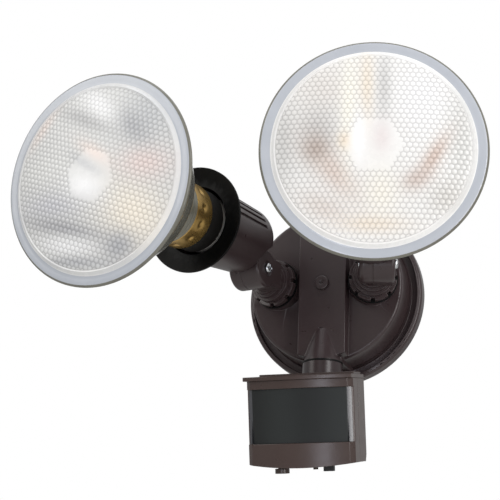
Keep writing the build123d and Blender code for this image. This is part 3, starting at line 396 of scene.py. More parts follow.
corner_mesh.from_pydata(corner_points, [], corner_faces)
front_corners = bpy.data.objects.new("front_corners", corner_mesh)
bpy.context.scene.collection.objects.link(front_corners)
rounded("head_back_shell", "sensor_rear_housing", bronze_abs, "sensor_head", 0.25)
rounded(
    "head_front_frame",
    "sensor_front_housing",
    bronze_abs,
    "sensor_head",
    0.35,
    cutter=front_corners,
)
bpy.data.objects.remove(front_corners)
rounded("head_top_cover", "sensor_top_cover", bronze_abs, "sensor_head", 0.35)
rounded("range_knob", "range_dial", bronze_abs, "range_dial", 0.25)

# Fresnel lens sheet, moulded in dark HDPE: dull and slightly waxy, so it shows
# only broad soft reflections. Its strips are real facets, and the sheet's tone
# drifts slowly across them: the wave texture's phase is 20 for each unit of scale.
tone_drift, wave_phase = 6.2, 20
lens_sheet, tree, place = finish("dark_hdpe_fresnel_lens")
drift = node(
    tree,
    "ShaderNodeTexWave",
    {
        "Vector": place,
        "Scale": 1 / (tone_drift * MM) / wave_phase,
        "Distortion": 0.6,
        "Detail": 1.0,
    },
    wave_type="BANDS",
    bands_direction="X",
)
tone = node(
    tree,
    "ShaderNodeMix",
    {"Factor": drift.outputs["Fac"], 6: linear("#232525"), 7: linear("#2d3030")},
    data_type="RGBA",
)
waxy = node(tree, "ShaderNodeTexNoise", {"Vector": place, "Scale": 1 / (0.5 * MM), "Detail": 2.0})
wax_skin = node(tree, "ShaderNodeBump", {"Height": waxy.outputs["Fac"], "Distance": 0.008 * MM})
moulding = node(
    tree,
    "ShaderNodeBsdfPrincipled",
    {
        "Base Color": tone.outputs[2],
        "Roughness": 0.5,
        "Specular IOR Level": 0.25,
        "Normal": wax_skin.outputs["Normal"],
    },
)
node(tree, "ShaderNodeOutputMaterial", {"Surface": moulding.outputs["BSDF"]})

# The sheet's bevelled border is polished in the mould and is a paler grey, partly
# a painted highlight; its gloss mirrors the light beside it as one bright line.
polished_border, tree, place = finish("polished_lens_border")
border_flow = node(
    tree, "ShaderNodeTexNoise", {"Vector": place, "Scale": 1 / (5 * MM), "Detail": 2.0}
)
tone = node(
    tree,
    "ShaderNodeMix",
    {"Factor": border_flow.outputs["Fac"], 6: linear("#3b3b40"), 7: linear("#47474c")},
    data_type="RGBA",
)
polish = node(
    tree,
    "ShaderNodeMapRange",
    {"Value": border_flow.outputs["Fac"], "To Min": 0.24, "To Max": 0.32},
)
moulding = node(
    tree,
    "ShaderNodeBsdfPrincipled",
    {
        "Base Color": tone.outputs[2],
        "Roughness": polish.outputs["Result"],
        "IOR": 1.54,
        "Coat Weight": 1.0,
        "Coat Roughness": 0.2,
    },
)
node(tree, "ShaderNodeOutputMaterial", {"Surface": moulding.outputs["BSDF"]})

lens_strips, lens_half, lens_bulge, lens_end, sheet_mm = 20, 30.2, 4.2, 1.2, 1.2
strip_rise, strip_wobble, strips_inset = 0.05, 0.035, 0.35
border_end, border_foot, border_mm = 32.4, 2.74, 0.3
return_start, return_foot, window_gap = 1.6, 7.4, 0.1


def facing_out(mesh):
    """Turns every face of a closed mesh outward."""
    work = bmesh.new()
    work.from_mesh(mesh)
    bmesh.ops.recalc_face_normals(work, faces=work.faces)
    work.to_mesh(mesh)
    work.free()


# The lens's plan, from its left end: the border's front, the bowed strips, whose
# middles stand out, the right border, the right return, the back, the left return.
ridges = []
for k in range(2 * lens_strips + 1):
    share = k / lens_strips - 1
    bow = lens_end - (lens_bulge + lens_end) * (1 - share * share)
    lean = strip_wobble * math.sin(2.4 * k) - strip_rise if k % 2 else 0.0
    ridges.append((share * (lens_half - strips_inset), frame_front + bow + lean))
foot, foot_back = frame_front + border_foot, frame_front + border_foot + border_mm
turn_in, back_end = frame_front + return_start, frame_front + return_foot
outline = [(-border_end, foot_back), (-border_end, foot)] + ridges
outline += [(border_end, foot), (border_end, foot_back), (lens_half, turn_in)]
outline += [(lens_half, back_end), (lens_half - sheet_mm, back_end)]
outline += [(x * (1 - sheet_mm / lens_half), y + sheet_mm) for x, y in reversed(ridges)]
outline += [(sheet_mm - lens_half, back_end), (-lens_half, back_end), (-lens_half, turn_in)]
count = len(outline)
lens_points = [
    head_place @ Vector((head_middle + x, y, z))
    for z in (window_foot + window_gap, window_top - window_gap)
    for x, y in outline
]
lens_faces = [(k, (k + 1) % count, (k + 1) % count + count, k + count) for k in range(count)]
lens_faces += [tuple(range(count)), tuple(range(count, 2 * count))]
lens_mesh = bpy.data.meshes.new("segmented_lens")
lens_mesh.from_pydata(lens_points, [], lens_faces)
lens_mesh.materials.append(lens_sheet)
lens_mesh.materials.append(polished_border)
for k in (0, 1, len(ridges) + 1, len(ridges) + 2):
    lens_mesh.polygons[k].material_index = 1
facing_out(lens_mesh)
lens_mesh.shade_smooth()
lens_mesh.set_sharp_from_angle(angle=math.radians(25))
segmented_lens = bpy.data.objects.new("segmented_lens", lens_mesh)
bpy.context.scene.collection.objects.link(segmented_lens)
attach(segmented_lens, "sensor_head")
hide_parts("sensor_lens")

# Glass-fibre board under green solder mask: the weave shows faintly in gloss.
board_mask, tree, place = finish("green_solder_mask")
weave = node(
    tree, "ShaderNodeTexVoronoi", {"Vector": place, "Scale": 1 / (0.9 * MM)}, distance="CHEBYCHEV"
)
tone = node(
    tree,
    "ShaderNodeMix",
    {"Factor": weave.outputs["Distance"], 6: linear("#0b4420"), 7: linear("#15622f")},
    data_type="RGBA",
)
cloth = node(tree, "ShaderNodeBump", {"Height": weave.outputs["Distance"], "Distance": 0.02 * MM})
laminate = node(
    tree,
    "ShaderNodeBsdfPrincipled",
    {"Base Color": tone.outputs[2], "Roughness": 0.32, "Normal": cloth.outputs["Normal"]},
)
node(tree, "ShaderNodeOutputMaterial", {"Surface": laminate.outputs["BSDF"]})
dress(["sensor_board"], board_mask)

# Glass-filled black nylon of the relay and the slider: dull, with fine fibre.
black_nylon, tree, place = finish("moulded_black_nylon")
fibre = node(tree, "ShaderNodeTexNoise", {"Vector": place, "Scale": 1 / (0.6 * MM), "Detail": 3.0})
tone = node(
    tree,
    "ShaderNodeMix",
    {"Factor": fibre.outputs["Fac"], 6: linear("#0a0a0b"), 7: linear("#19191a")},
    data_type="RGBA",
)
fibre_skin = node(tree, "ShaderNodeBump", {"Height": fibre.outputs["Fac"], "Distance": 0.008 * MM})
moulding = node(
    tree,
    "ShaderNodeBsdfPrincipled",
    {"Base Color": tone.outputs[2], "Roughness": 0.5, "Normal": fibre_skin.outputs["Normal"]},
)
node(tree, "ShaderNodeOutputMaterial", {"Surface": moulding.outputs["BSDF"]})
dress(["sensor_relay"], black_nylon)
rounded("time_slider", "time_switch", black_nylon, "time_switch", 0.25)

# Nickel-plated can of the detector: bright, drawn, faintly streaked.
nickel_can, tree, place = finish("nickel_plated_can")
drawn = node(tree, "ShaderNodeTexNoise", {"Vector": place, "Scale": 1 / (2 * MM), "Detail": 2.0})
tone = node(
    tree,
    "ShaderNodeMix",
    {"Factor": drawn.outputs["Fac"], 6: linear("#b3afa5"), 7: linear("#d0ccc2")},
    data_type="RGBA",
)
can = node(
    tree,
    "ShaderNodeBsdfPrincipled",
    {"Base Color": tone.outputs[2], "Metallic": 1.0, "Roughness": 0.24},
)
node(tree, "ShaderNodeOutputMaterial", {"Surface": can.outputs["BSDF"]})
dress(["motion_detector"], nickel_can)

# Phosphated steel screws: dark grey, dull metal with an oily sheen.
phosphate, tree, place = finish("phosphated_steel")
oily = node(tree, "ShaderNodeTexNoise", {"Vector": place, "Scale": 1 / (1 * MM), "Detail": 2.0})
tone = node(
    tree,
    "ShaderNodeMix",
    {"Factor": oily.outputs["Fac"], 6: linear("#38332f"), 7: linear("#5a544e")},
    data_type="RGBA",
)
steel = node(
    tree,
    "ShaderNodeBsdfPrincipled",
    {"Base Color": tone.outputs[2], "Metallic": 1.0, "Roughness": 0.42},
)
node(tree, "ShaderNodeOutputMaterial", {"Surface": steel.outputs["BSDF"]})
dress(["housing_screws"], phosphate)

# ----------------------------------------------------------- arms and knuckles
# Each arm is a turned and cast stem with stepped rings, screwed through its
# seat with a notched ring nut. One bright screw closes the knuckle.
for side in ("left", "right"):
    rounded(f"{side}_stem", f"{side}_swivel_arm", powder_coat, f"{side}_arm")
    rounded(f"{side}_ring_nut", f"{side}_lock_nut", powder_coat, f"{side}_arm")
    dress([f"{side}_stem_gasket"], rubber)
    dress([f"{side}_inner_nut", f"{side}_knuckle_nut"], zinc_plate)

# Bright nickel on steel: a mirror with slight brushing, so it glints.
bright_nickel, tree, place = finish("bright_nickel_plate")
brushed = node(
    tree, "ShaderNodeTexNoise", {"Vector": place, "Scale": 1 / (0.8 * MM), "Detail": 2.0}
)
tone = node(
    tree,
    "ShaderNodeMix",
    {"Factor": brushed.outputs["Fac"], 6: linear("#c3c6ca"), 7: linear("#e6e8ea")},
    data_type="RGBA",
)
brushing = node(tree, "ShaderNodeBump", {"Height": brushed.outputs["Fac"], "Distance": 0.004 * MM})
plating = node(
    tree,
    "ShaderNodeBsdfPrincipled",
    {
        "Base Color": tone.outputs[2],
        "Metallic": 1.0,
        "Roughness": 0.18,
        "Normal": brushing.outputs["Normal"],
    },
)
node(tree, "ShaderNodeOutputMaterial", {"Surface": plating.outputs["BSDF"]})

# Pan head with a cross recess: the head's top is a fine polar grid, pressed in
# where the cross is, and the shank is turned on behind it.
screw_seat, screw_top, screw_head, screw_shank, screw_end = 12.5, 15.25, 3.15, 2.5, -8.9
pan_drop, pan_rings, pan_step = 0.9, 25, 0.12
cross_half, cross_reach, cross_depth = 0.55, 2.15, 1.5
screw_steps = 64


def screw_face(r, a):
    """Height of the pan head's top, with the cross recess pressed in."""
    height = screw_top - pan_drop * (r / screw_head) ** 4
    u, v = r * math.cos(a), r * math.sin(a)
    if min(abs(u), abs(v)) < cross_half and r < cross_reach:
        height -= cross_depth * (1 - (r / cross_reach) ** 2) ** 0.5
    return height


# (radius, place along the screw); the rings of the top have their height worked out.
screw_profile = [(pan_step * k, None) for k in range(1, pan_rings + 1)]
screw_profile += [(3.12, 13.7), (screw_head, 13.3), (screw_head, screw_seat)]
screw_profile += [(screw_shank, screw_seat), (screw_shank, screw_end), (0.4, screw_end)]
for side in ("left", "right"):
    tilt = joint(f"{side}_tilt")
    across = Vector(tilt["axis"]).normalized()
    onward = Vector((0, 0, 1)).cross(across).normalized()
    upward = across.cross(onward)
    turned = Matrix((across, onward, upward)).transposed().to_4x4()
    seat = Matrix.Translation(tilt["pos_m"]) @ turned @ Matrix.Scale(MM, 4)
    points = [(screw_face(0, 0), 0.0, 0.0)]
    for r, x in screw_profile:
        for k in range(screw_steps):
            a = 2 * math.pi * k / screw_steps
            height = screw_face(r, a) if x is None else x
            points.append((height, r * math.cos(a), r * math.sin(a)))
    faces = [(0, 1 + (k + 1) % screw_steps, 1 + k) for k in range(screw_steps)]
    for ring in range(len(screw_profile) - 1):
        near, far = 1 + ring * screw_steps, 1 + (ring + 1) * screw_steps
        for k in range(screw_steps):
            n = (k + 1) % screw_steps
            faces.append((near + k, near + n, far + n, far + k))
    last = 1 + (len(screw_profile) - 1) * screw_steps
    faces.append(tuple(last + k for k in range(screw_steps)))
    mesh = bpy.data.meshes.new(f"{side}_cross_screw")
    mesh.from_pydata([seat @ Vector(p) for p in points], [], faces)
    facing_out(mesh)
    mesh.shade_smooth()
    mesh.set_sharp_from_angle(angle=math.radians(40))
    mesh.materials.append(bright_nickel)
    screw = bpy.data.objects.new(f"{side}_cross_screw", mesh)
    bpy.context.scene.collection.objects.link(screw)
    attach(screw, f"{side}_arm")
    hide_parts(f"{side}_knuckle_screw")

# -------------------------------------------------------------- lamp holders
# Cast bell with its half of the knuckle, grooved along its upper side, a black
# rubber lip round the mouth, and a glazed porcelain socket with a metal shell.
for side in ("left", "right"):
    rounded(f"{side}_bell", f"{side}_lamp_holder", powder_coat, f"{side}_holder")
    rounded(f"{side}_rubber_lip", f"{side}_holder_gasket", rubber, f"{side}_holder")

# Steatite, glazed and fired: white with a clear wet gloss.
porcelain, tree, place = finish("glazed_porcelain")
pooled = node(tree, "ShaderNodeTexNoise", {"Vector": place, "Scale": 1 / (9 * MM), "Detail": 2.0})
tone = node(
    tree,
    "ShaderNodeMix",
    {"Factor": pooled.outputs["Fac"], 6: linear("#dedad0"), 7: linear("#f1eee7")},
    data_type="RGBA",
)
glaze_flow = node(tree, "ShaderNodeBump", {"Height": pooled.outputs["Fac"], "Distance": 0.03 * MM})
fired = node(
    tree,
    "ShaderNodeBsdfPrincipled",
    {
        "Base Color": tone.outputs[2],
        "Roughness": 0.12,
        "Coat Weight": 0.6,
        "Coat Roughness": 0.05,
        "Normal": glaze_flow.outputs["Normal"],
    },
)
node(tree, "ShaderNodeOutputMaterial", {"Surface": fired.outputs["BSDF"]})

# Nickel-plated brass sheet, drawn and rolled: warm white metal, fine streaks.
rolled_shell, tree, place = finish("nickel_plated_brass_sheet")
rolled = node(tree, "ShaderNodeTexNoise", {"Vector": place, "Scale": 1 / (2 * MM), "Detail": 3.0})
tone = node(
    tree,
    "ShaderNodeMix",
    {"Factor": rolled.outputs["Fac"], 6: linear("#b0aca2"), 7: linear("#d3d0c8")},
    data_type="RGBA",
)
streaks = node(
    tree, "ShaderNodeMapRange", {"Value": rolled.outputs["Fac"], "To Min": 0.2, "To Max": 0.38}
)
sheet = node(
    tree,
    "ShaderNodeBsdfPrincipled",
    {"Base Color": tone.outputs[2], "Metallic": 1.0, "Roughness": streaks.outputs["Result"]},
)
node(tree, "ShaderNodeOutputMaterial", {"Surface": sheet.outputs["BSDF"]})
for side in ("left", "right"):
    dress([f"{side}_socket_body", f"{side}_lamp_insulator"], porcelain)
    dress([f"{side}_socket_shell", f"{side}_centre_contact", f"{side}_lamp_cap"], rolled_shell)

# ----------------------------------------------------------------- lamp lens
# Pressed borosilicate glass, sealed to the bowl. The face is a shallow dome
# covered with hexagonal lenslets round a plain hexagon, inside a flat rim.
lens_pitch, lens_plain_rows, lenslet_rise = 3.1, 5, 0.34
plain_depth, shoulder_reach, shoulder_depth = 0.2, 0.6, 0.3
lens_field, lens_edge, lens_top = 51.5, -1.9, -8.0
lamp_forward, lamp_above = 163.5, 17.6


def lamp_frame(side):
    """Lamp millimetres to the frame: x along the screw, y back from the rim."""
    tilt, slide = joint(f"{side}_tilt"), joint(f"{side}_lamp_unscrew")
    across, back = Vector(tilt["axis"]).normalized(), -Vector(slide["axis"]).normalized()
    up = across.cross(back)
    middle = Vector(tilt["pos_m"]) + up * lamp_above * MM - back * lamp_forward * MM
    turned = Matrix((across, back, up)).transposed().to_4x4()
    return Matrix.Translation(middle) @ turned @ Matrix.Scale(MM, 4)


def turned_face(profile, steps=160):
    """Points and faces of a profile of (radius, depth) turned round the lamp."""
    points, faces, rings = [], [], []
    for radius, depth in profile:
        if radius < 1e-6:
            rings.append([len(points)] * steps)
            points.append((0.0, depth, 0.0))
            continue
        rings.append(list(range(len(points), len(points) + steps)))
        for k in range(steps):
            a = 2 * math.pi * k / steps
            points.append((radius * math.cos(a), depth, radius * math.sin(a)))
    for front, behind in zip(rings, rings[1:]):
        for k in range(steps):
            n = (k + 1) % steps
            corner = list(dict.fromkeys((front[k], front[n], behind[n], behind[k])))
            if len(corner) > 2:
                faces.append(tuple(corner))
    return points, faces


def lamp_piece(name, side, points, faces, finishes, part, kinds=None, crease=35):
    """A piece of a lamp, from lamp millimetres, standing for its CAD node."""
    mesh = bpy.data.meshes.new(name)
    mesh.from_pydata([lamp_frame(side) @ Vector(p) for p in points], [], faces)
    mesh.validate()
    for made in finishes:
        mesh.materials.append(made)
    if kinds:
        mesh.polygons.foreach_set("material_index", kinds)
    facing_out(mesh)
    mesh.shade_smooth()
    mesh.set_sharp_from_angle(angle=math.radians(crease))
    piece = bpy.data.objects.new(name, mesh)
    bpy.context.scene.collection.objects.link(piece)
    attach(piece, f"{side}_lamp")
    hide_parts(part)
    return piece


def dome(radius):
    """Depth of the lens's outer face; the rim's front is 0."""
    return lens_top + (lens_edge - lens_top) * (radius / lens_field) ** 2


def lens_cells(turn):
    """The lenslet field: points, faces and how deep each point lies, 0 to 1."""
    points, faces, low, known = [], [], [], {}

    def point(x, z, depth):
        r = math.hypot(x, z)
        if r > lens_field:
            x, z, r, depth = x * lens_field / r, z * lens_field / r, lens_field, 1.0
        key = (round(x, 3), round(z, 3))
        if key not in known:
            known[key] = len(points)
            points.append((x, dome(r) + lenslet_rise * depth, z))
            low.append(depth)
        elif depth > low[known[key]]:
            low[known[key]] = depth
            points[known[key]] = (x, dome(r) + lenslet_rise * depth, z)
        return known[key]

    reach = int(lens_field / lens_pitch) + 4
    a, b = math.radians(turn), math.radians(turn + 60)
    corners = [math.radians(turn + 30 + 60 * k) for k in range(6)]
    to_corner = lens_pitch / 3**0.5
    hexagon = [(math.cos(c) * to_corner, math.sin(c) * to_corner) for c in corners]
    outermost = lens_field + 0.6 * lens_pitch
    for i in range(-reach, reach + 1):
        for j in range(-reach, reach + 1):
            cx = lens_pitch * (i * math.cos(a) + j * math.cos(b))
            cz = lens_pitch * (i * math.sin(a) + j * math.sin(b))
            if math.hypot(cx, cz) > outermost:
                continue
            plain = max(abs(i), abs(j), abs(i + j)) <= lens_plain_rows
            top, shoulder, valley = (plain_depth,) * 3 if plain else (0.0, shoulder_depth, 1.0)
            middle = point(cx, cz, top)
            inward = [(shoulder_reach * x, shoulder_reach * z) for x, z in hexagon]
            inner = [point(cx + x, cz + z, shoulder) for x, z in inward]
            outer = [point(cx + x, cz + z, valley) for x, z in hexagon]
            for k in range(6):
                n = (k + 1) % 6
                for face in (
                    (middle, inner[k], inner[n]),
                    (inner[k], outer[k], outer[n], inner[n]),
                ):
                    kept = list(dict.fromkeys(face))
                    if len(kept) > 2:
                        faces.append(tuple(kept))
    return points, faces, low


# Painted reflections: what the silvered bowl would show through each lens,
# painted on the lens as fixed colour: a base tone, then patches of (x, z, half
# length, half width, angle, strength, colour), in lamp millimetres and degrees.
painted_bowl_reflections = {
    "left": (
        "#dfdfdd",
        (
            (34, 30, 16, 20, 0, 0.85, "#c4c6c8"),
            (-33, 8, 18, 9, 0, 0.7, "#ebebe8"),
            (-26, -13, 22, 8, -8, 0.8, "#d2d2d8"),
            (27, -24, 22, 16, -40, 1.0, "#fff6e6"),
            (34, 3, 15, 9, -10, 0.9, "#efdcd6"),
            (-4, 33, 21, 4.5, -25, 1.0, "#bcbcbc"),
            (3, 41, 15, 6, -40, 1.0, "#fcfcfc"),
            (26, 25, 12, 6, -50, 0.9, "#b2b3b6"),
            (-36, 34, 13, 4, 50, 0.7, "#f3e2d9"),
            (3, 13, 13, 4, -35, 0.8, "#f6e4da"),
            (-3, 7, 12, 2.5, -35, 0.9, "#c4c5c7"),
            (-3, -6, 14, 8, -25, 1.0, "#ffffff"),
            (-18, -27, 27, 4.5, -17, 1.0, "#b6b6b9"),
            (-17, -36.5, 21, 5.5, -12, 1.0, "#ffffff"),
            (-12, -46, 24, 3, -8, 0.9, "#c3c4c7"),
            (17, -41, 10, 8, 0, 1.0, "#bcbdc0"),
        ),
    ),
    "right": (
        "#f6f5f2",
        (
            (-26, 32, 18, 16, 0, 0.9, "#ebe6e0"),
            (25, 26, 16, 20, 0, 0.9, "#fbfbfb"),
            (46, 4, 8, 30, 0, 0.9, "#d9d9d5"),
            (38, -27, 11, 9, 45, 0.9, "#dad7d1"),
            (-48, 2, 7, 24, 0, 0.8, "#cdccc9"),
            (-30, 6, 12, 16, 0, 0.95, "#cdcac7"),
            (-20, -15, 20, 8, -50, 1.0, "#e2d3c9"),
            (-30, -2, 7, 7, 0, 0.85, "#bcada3"),
            (-25, -34, 15, 7, -25, 0.8, "#e2d7ce"),
            (0, -42, 17, 5, 0, 0.8, "#f3e4d0"),
            (31, -6, 15, 4.5, 60, 1.0, "#d8c4b8"),
            (22, -18, 9, 5, 30, 0.9, "#d6c6bd"),
            (-4, 34, 4, 22, 0, 0.8, "#f5e8d4"),
            (5, 33, 3.8, 20, 0, 0.9, "#d7d6d4"),
            (-13, 22, 4.5, 32, 0, 1.0, "#fffcf0"),
            (-15, 2, 4, 5, 0, 0.8, "#f5e4cd"),
            (-8, 4, 4, 15, 0, 1.0, "#ffffff"),
            (4, 4, 5, 9, 0, 0.9, "#ebe2e0"),
            (4, -26, 9, 12, 0, 0.8, "#fdf8ea"),
        ),
    ),
}


def painted_reflection(side, x, z):
    """The painted reflection colour that the bowl behind gives one point of the lens."""
    base, patches = painted_bowl_reflections[side]
    colour = Vector(linear(base)[:3])
    for px, pz, length, width, angle, strength, tint in patches:
        a = math.radians(angle)
        u = (x - px) * math.cos(a) + (z - pz) * math.sin(a)
        v = (z - pz) * math.cos(a) - (x - px) * math.sin(a)
        share = strength * math.exp(-((u / length) ** 2) - (v / width) ** 2)
        colour = colour.lerp(Vector(linear(tint)[:3]), share)
    return colour


# Pressed glass over a silvered bowl: pearly, its colour the painted bowl reflection,
# with a painted highlight dot in the middle of each lenslet and painted shade
# greying its border. The glass's own gloss lies over it.
pressed_glass, tree, place = finish("pressed_glass_painted_reflections_glints")
seen = node(tree, "ShaderNodeAttribute", attribute_name="painted_reflection").outputs["Color"]
border = node(tree, "ShaderNodeAttribute", attribute_name="lenslet_depth").outputs["Fac"]
# Painted highlight: white mixed into the middle of each lenslet.
painted_glint_share = node(
    tree, "ShaderNodeMapRange", {"Value": border, "From Min": 0.3, "From Max": 0.0, "To Max": 0.2}
).outputs["Result"]
with_painted_glints = node(
    tree, "ShaderNodeMix", {"Factor": painted_glint_share, 6: seen, 7: linear("#ffffff")}, data_type="RGBA"
).outputs[2]
# Painted shade: each lenslet's border multiplied towards grey.
painted_valley_shade_share = node(
    tree, "ShaderNodeMapRange", {"Value": border, "From Min": 0.35, "From Max": 1.0, "To Max": 0.55}
).outputs["Result"]
with_painted_valley_shade = node(
    tree,
    "ShaderNodeMix",
    {"Factor": painted_valley_shade_share, 6: with_painted_glints, 7: linear("#b4b3b4")},
    data_type="RGBA",
    blend_type="MULTIPLY",
).outputs[2]
pressed = node(tree, "ShaderNodeTexNoise", {"Vector": place, "Scale": 1 / (4 * MM), "Detail": 2.0})
mould_polish = node(
    tree, "ShaderNodeMapRange", {"Value": pressed.outputs["Fac"], "To Min": 0.2, "To Max": 0.34}
)
glass = node(
    tree,
    "ShaderNodeBsdfPrincipled",
    {
        "Base Color": with_painted_valley_shade,
        "Roughness": mould_polish.outputs["Result"],
        "Specular IOR Level": 0.4,
        "Coat Weight": 0.5,
        "Coat Roughness": 0.08,
        "Coat IOR": 1.47,
    },
)
node(tree, "ShaderNodeOutputMaterial", {"Surface": glass.outputs["BSDF"]})

# The same glass where it is solid and sealed at the rim: cold pale blue-grey.
rim_glass, tree, place = finish("sealed_glass_rim")
seal_flow = node(
    tree, "ShaderNodeTexNoise", {"Vector": place, "Scale": 1 / (16 * MM), "Detail": 2.0}
)
tone = node(
    tree,
    "ShaderNodeMix",
    {"Factor": seal_flow.outputs["Fac"], 6: linear("#b4b9c1"), 7: linear("#c5c9d0")},
    data_type="RGBA",
)
flow = node(tree, "ShaderNodeBump", {"Height": seal_flow.outputs["Fac"], "Distance": 0.03 * MM})
glass = node(
    tree,
    "ShaderNodeBsdfPrincipled",
    {
        "Base Color": tone.outputs[2],
        "Roughness": 0.22,
        "IOR": 1.47,
        "Coat Weight": 0.4,
        "Coat Roughness": 0.1,
        "Normal": flow.outputs["Normal"],
    },
)
node(tree, "ShaderNodeOutputMaterial", {"Surface": glass.outputs["BSDF"]})

# Where lens and bowl are fused the edge is fire-polished and looks dark and
# warm, because the light runs through the solid glass.
fused_edge, tree, place = finish("fused_glass_edge")
fused = node(tree, "ShaderNodeTexNoise", {"Vector": place, "Scale": 1 / (10 * MM), "Detail": 2.0})
tone = node(
    tree,
    "ShaderNodeMix",
    {"Factor": fused.outputs["Fac"], 6: linear("#66645b"), 7: linear("#85847a")},
    data_type="RGBA",
)
glass = node(
    tree,
    "ShaderNodeBsdfPrincipled",
    {"Base Color": tone.outputs[2], "Roughness": 0.15, "IOR": 1.47},
)
node(tree, "ShaderNodeOutputMaterial", {"Surface": glass.outputs["BSDF"]})

# Grey-coated glass: smooth and glossy, with painted light making it pale near the
# rim, where the rim's light shows in it, and painted shade turning it olive grey
# towards the neck.
coated_glass, tree, place = finish("grey_coated_glass")
painted_neck_shade = node(tree, "ShaderNodeAttribute", attribute_name="painted_neck_shade").outputs["Fac"]
tone = node(
    tree,
    "ShaderNodeMix",
    {"Factor": painted_neck_shade, 6: linear("#bfbfb6"), 7: linear("#8b897d")},
    data_type="RGBA",
)
dipped = node(tree, "ShaderNodeTexNoise", {"Vector": place, "Scale": 1 / (11 * MM), "Detail": 2.0})
gloss = node(
    tree, "ShaderNodeMapRange", {"Value": dipped.outputs["Fac"], "To Min": 0.12, "To Max": 0.24}
)
sag = node(tree, "ShaderNodeBump", {"Height": dipped.outputs["Fac"], "Distance": 0.06 * MM})
glass = node(
    tree,
    "ShaderNodeBsdfPrincipled",
    {
        "Base Color": tone.outputs[2],
        "Roughness": gloss.outputs["Result"],
        "Metallic": 0.2,
        "Coat Weight": 0.6,
        "Coat Roughness": 0.06,
        "Normal": sag.outputs["Normal"],
    },
)
node(tree, "ShaderNodeOutputMaterial", {"Surface": glass.outputs["BSDF"]})

# (radius, depth): the step round the field, the flat ring, the fused edge, and
# the hidden back of the lens. The kinds give each band its finish, in the order
# in which the lens holds them.
rim_profile = [
    (lens_field, lens_edge + lenslet_rise),
    (51.9, -1.6),
    (52.3, -1.75),
    (52.9, -1.3),
    (53.7, -0.4),
    (54.4, 0.0),
    (56.5, -0.1),
    (58.7, 0.0),
    (59.3, 0.15),
    (60.0, 0.7),
    (60.45, 1.3),
    (60.4, 1.8),
    (58.9, 3.0),
    (57.0, 3.0),
    (53.0, 2.6),
    (40.0, -1.0),
    (20.0, -3.4),
    (0.0, -4.2),
]
rim_kinds = [0] * 5 + [1] * 3 + [2] * 3 + [3] + [1] * 5
for side, lattice_turn in (("left", -20.5), ("right", 0.0)):
    points, faces, low = lens_cells(lattice_turn)
    ring_points, ring_faces = turned_face(rim_profile)
    start = len(points)
    steps = len(ring_faces) // (len(rim_profile) - 1)
    kinds = [0] * len(faces) + [rim_kinds[k // steps] for k in range(len(ring_faces))]
    faces = faces + [tuple(v + start for v in f) for f in ring_faces]
    points, low = points + ring_points, low + [0.0] * len(ring_points)
    lens = lamp_piece(
        f"{side}_pressed_lens",
        side,
        points,
        faces,
        (pressed_glass, rim_glass, fused_edge, coated_glass),
        f"{side}_lamp_lens",
        kinds,
        crease=50,
    )
    # Painted reflections of the bowl, stored on each point of the lens.
    painted_reflection_layer = lens.data.attributes.new("painted_reflection", "FLOAT_COLOR", "POINT")
    for spot, (x, y, z) in zip(painted_reflection_layer.data, points):
        spot.color = (*painted_reflection(side, x, z), 1.0)
    depth_layer = lens.data.attributes.new("lenslet_depth", "FLOAT", "POINT")
    depth_layer.data.foreach_set("value", low)

# ----------------------------------------------------------- lamp bowl and cap
# Pressed glass bowl, silvered inside and left with its grey paint outside. The
# mould leaves rings near the neck. A dimpled brass skirt carries the cap.
bowl_side = (  # (depth, radius)
    (3.05, 58.85),
    (6.0, 56.9),
    (12.0, 53.1),
    (20.0, 48.4),
    (30.0, 43.1),
    (36.0, 40.3),
    (38.0, 39.1),
    (42.0, 35.4),
    (48.0, 30.4),
    (55.0, 25.6),
    (61.0, 21.6),
    (65.0, 19.7),
    (72.2, 19.6),
)
bowl_ridges = (  # (depth, height)
    (8.0, -0.35),
    (13.0, -0.3),
    (66.2, 0.35),
    (68.0, 0.4),
    (69.8, 0.4),
    (71.6, 0.35),
)
ridge_half, bowl_rings, bowl_step, neck_shade_from = 0.5, 173, 0.4, 40


def bowl_radius(depth):
    """Outer radius of the bowl's side: straight between its circles, ridged."""
    for (y1, r1), (y2, r2) in zip(bowl_side, bowl_side[1:]):
        if depth <= y2:
            break
    ridge = sum(high * math.exp(-(((depth - at) / ridge_half) ** 2)) for at, high in bowl_ridges)
    return r1 + (r2 - r1) * (depth - y1) / (y2 - y1) + ridge


# Brass sheet, drawn, lacquered and a little tarnished: golden brown.
tarnished_brass, tree, place = finish("tarnished_brass_sheet")
tarnish = node(tree, "ShaderNodeTexNoise", {"Vector": place, "Scale": 1 / (7 * MM), "Detail": 4.0})
tone = node(
    tree,
    "ShaderNodeMix",
    {"Factor": tarnish.outputs["Fac"], 6: linear("#a68242"), 7: linear("#ddb972")},
    data_type="RGBA",
)
lacquer = node(
    tree, "ShaderNodeMapRange", {"Value": tarnish.outputs["Fac"], "To Min": 0.2, "To Max": 0.36}
)
sheet = node(
    tree,
    "ShaderNodeBsdfPrincipled",
    {"Base Color": tone.outputs[2], "Metallic": 0.85, "Roughness": lacquer.outputs["Result"]},
)
node(tree, "ShaderNodeOutputMaterial", {"Surface": sheet.outputs["BSDF"]})

# The part inside the holder is painted dull and nearly black: painted shade, where the holder
# shades it.
painted_holder_shade, tree, place = finish("brass_painted_black_for_shade")
dark_mottle = node(
    tree, "ShaderNodeTexNoise", {"Vector": place, "Scale": 1 / (3 * MM), "Detail": 3.0}
)
tone = node(
    tree,
    "ShaderNodeMix",
    {"Factor": dark_mottle.outputs["Fac"], 6: linear("#0c0b0a"), 7: linear("#1a1713")},
    data_type="RGBA",
)
sheet = node(tree, "ShaderNodeBsdfPrincipled", {"Base Color": tone.outputs[2], "Roughness": 0.7})
node(tree, "ShaderNodeOutputMaterial", {"Surface": sheet.outputs["BSDF"]})

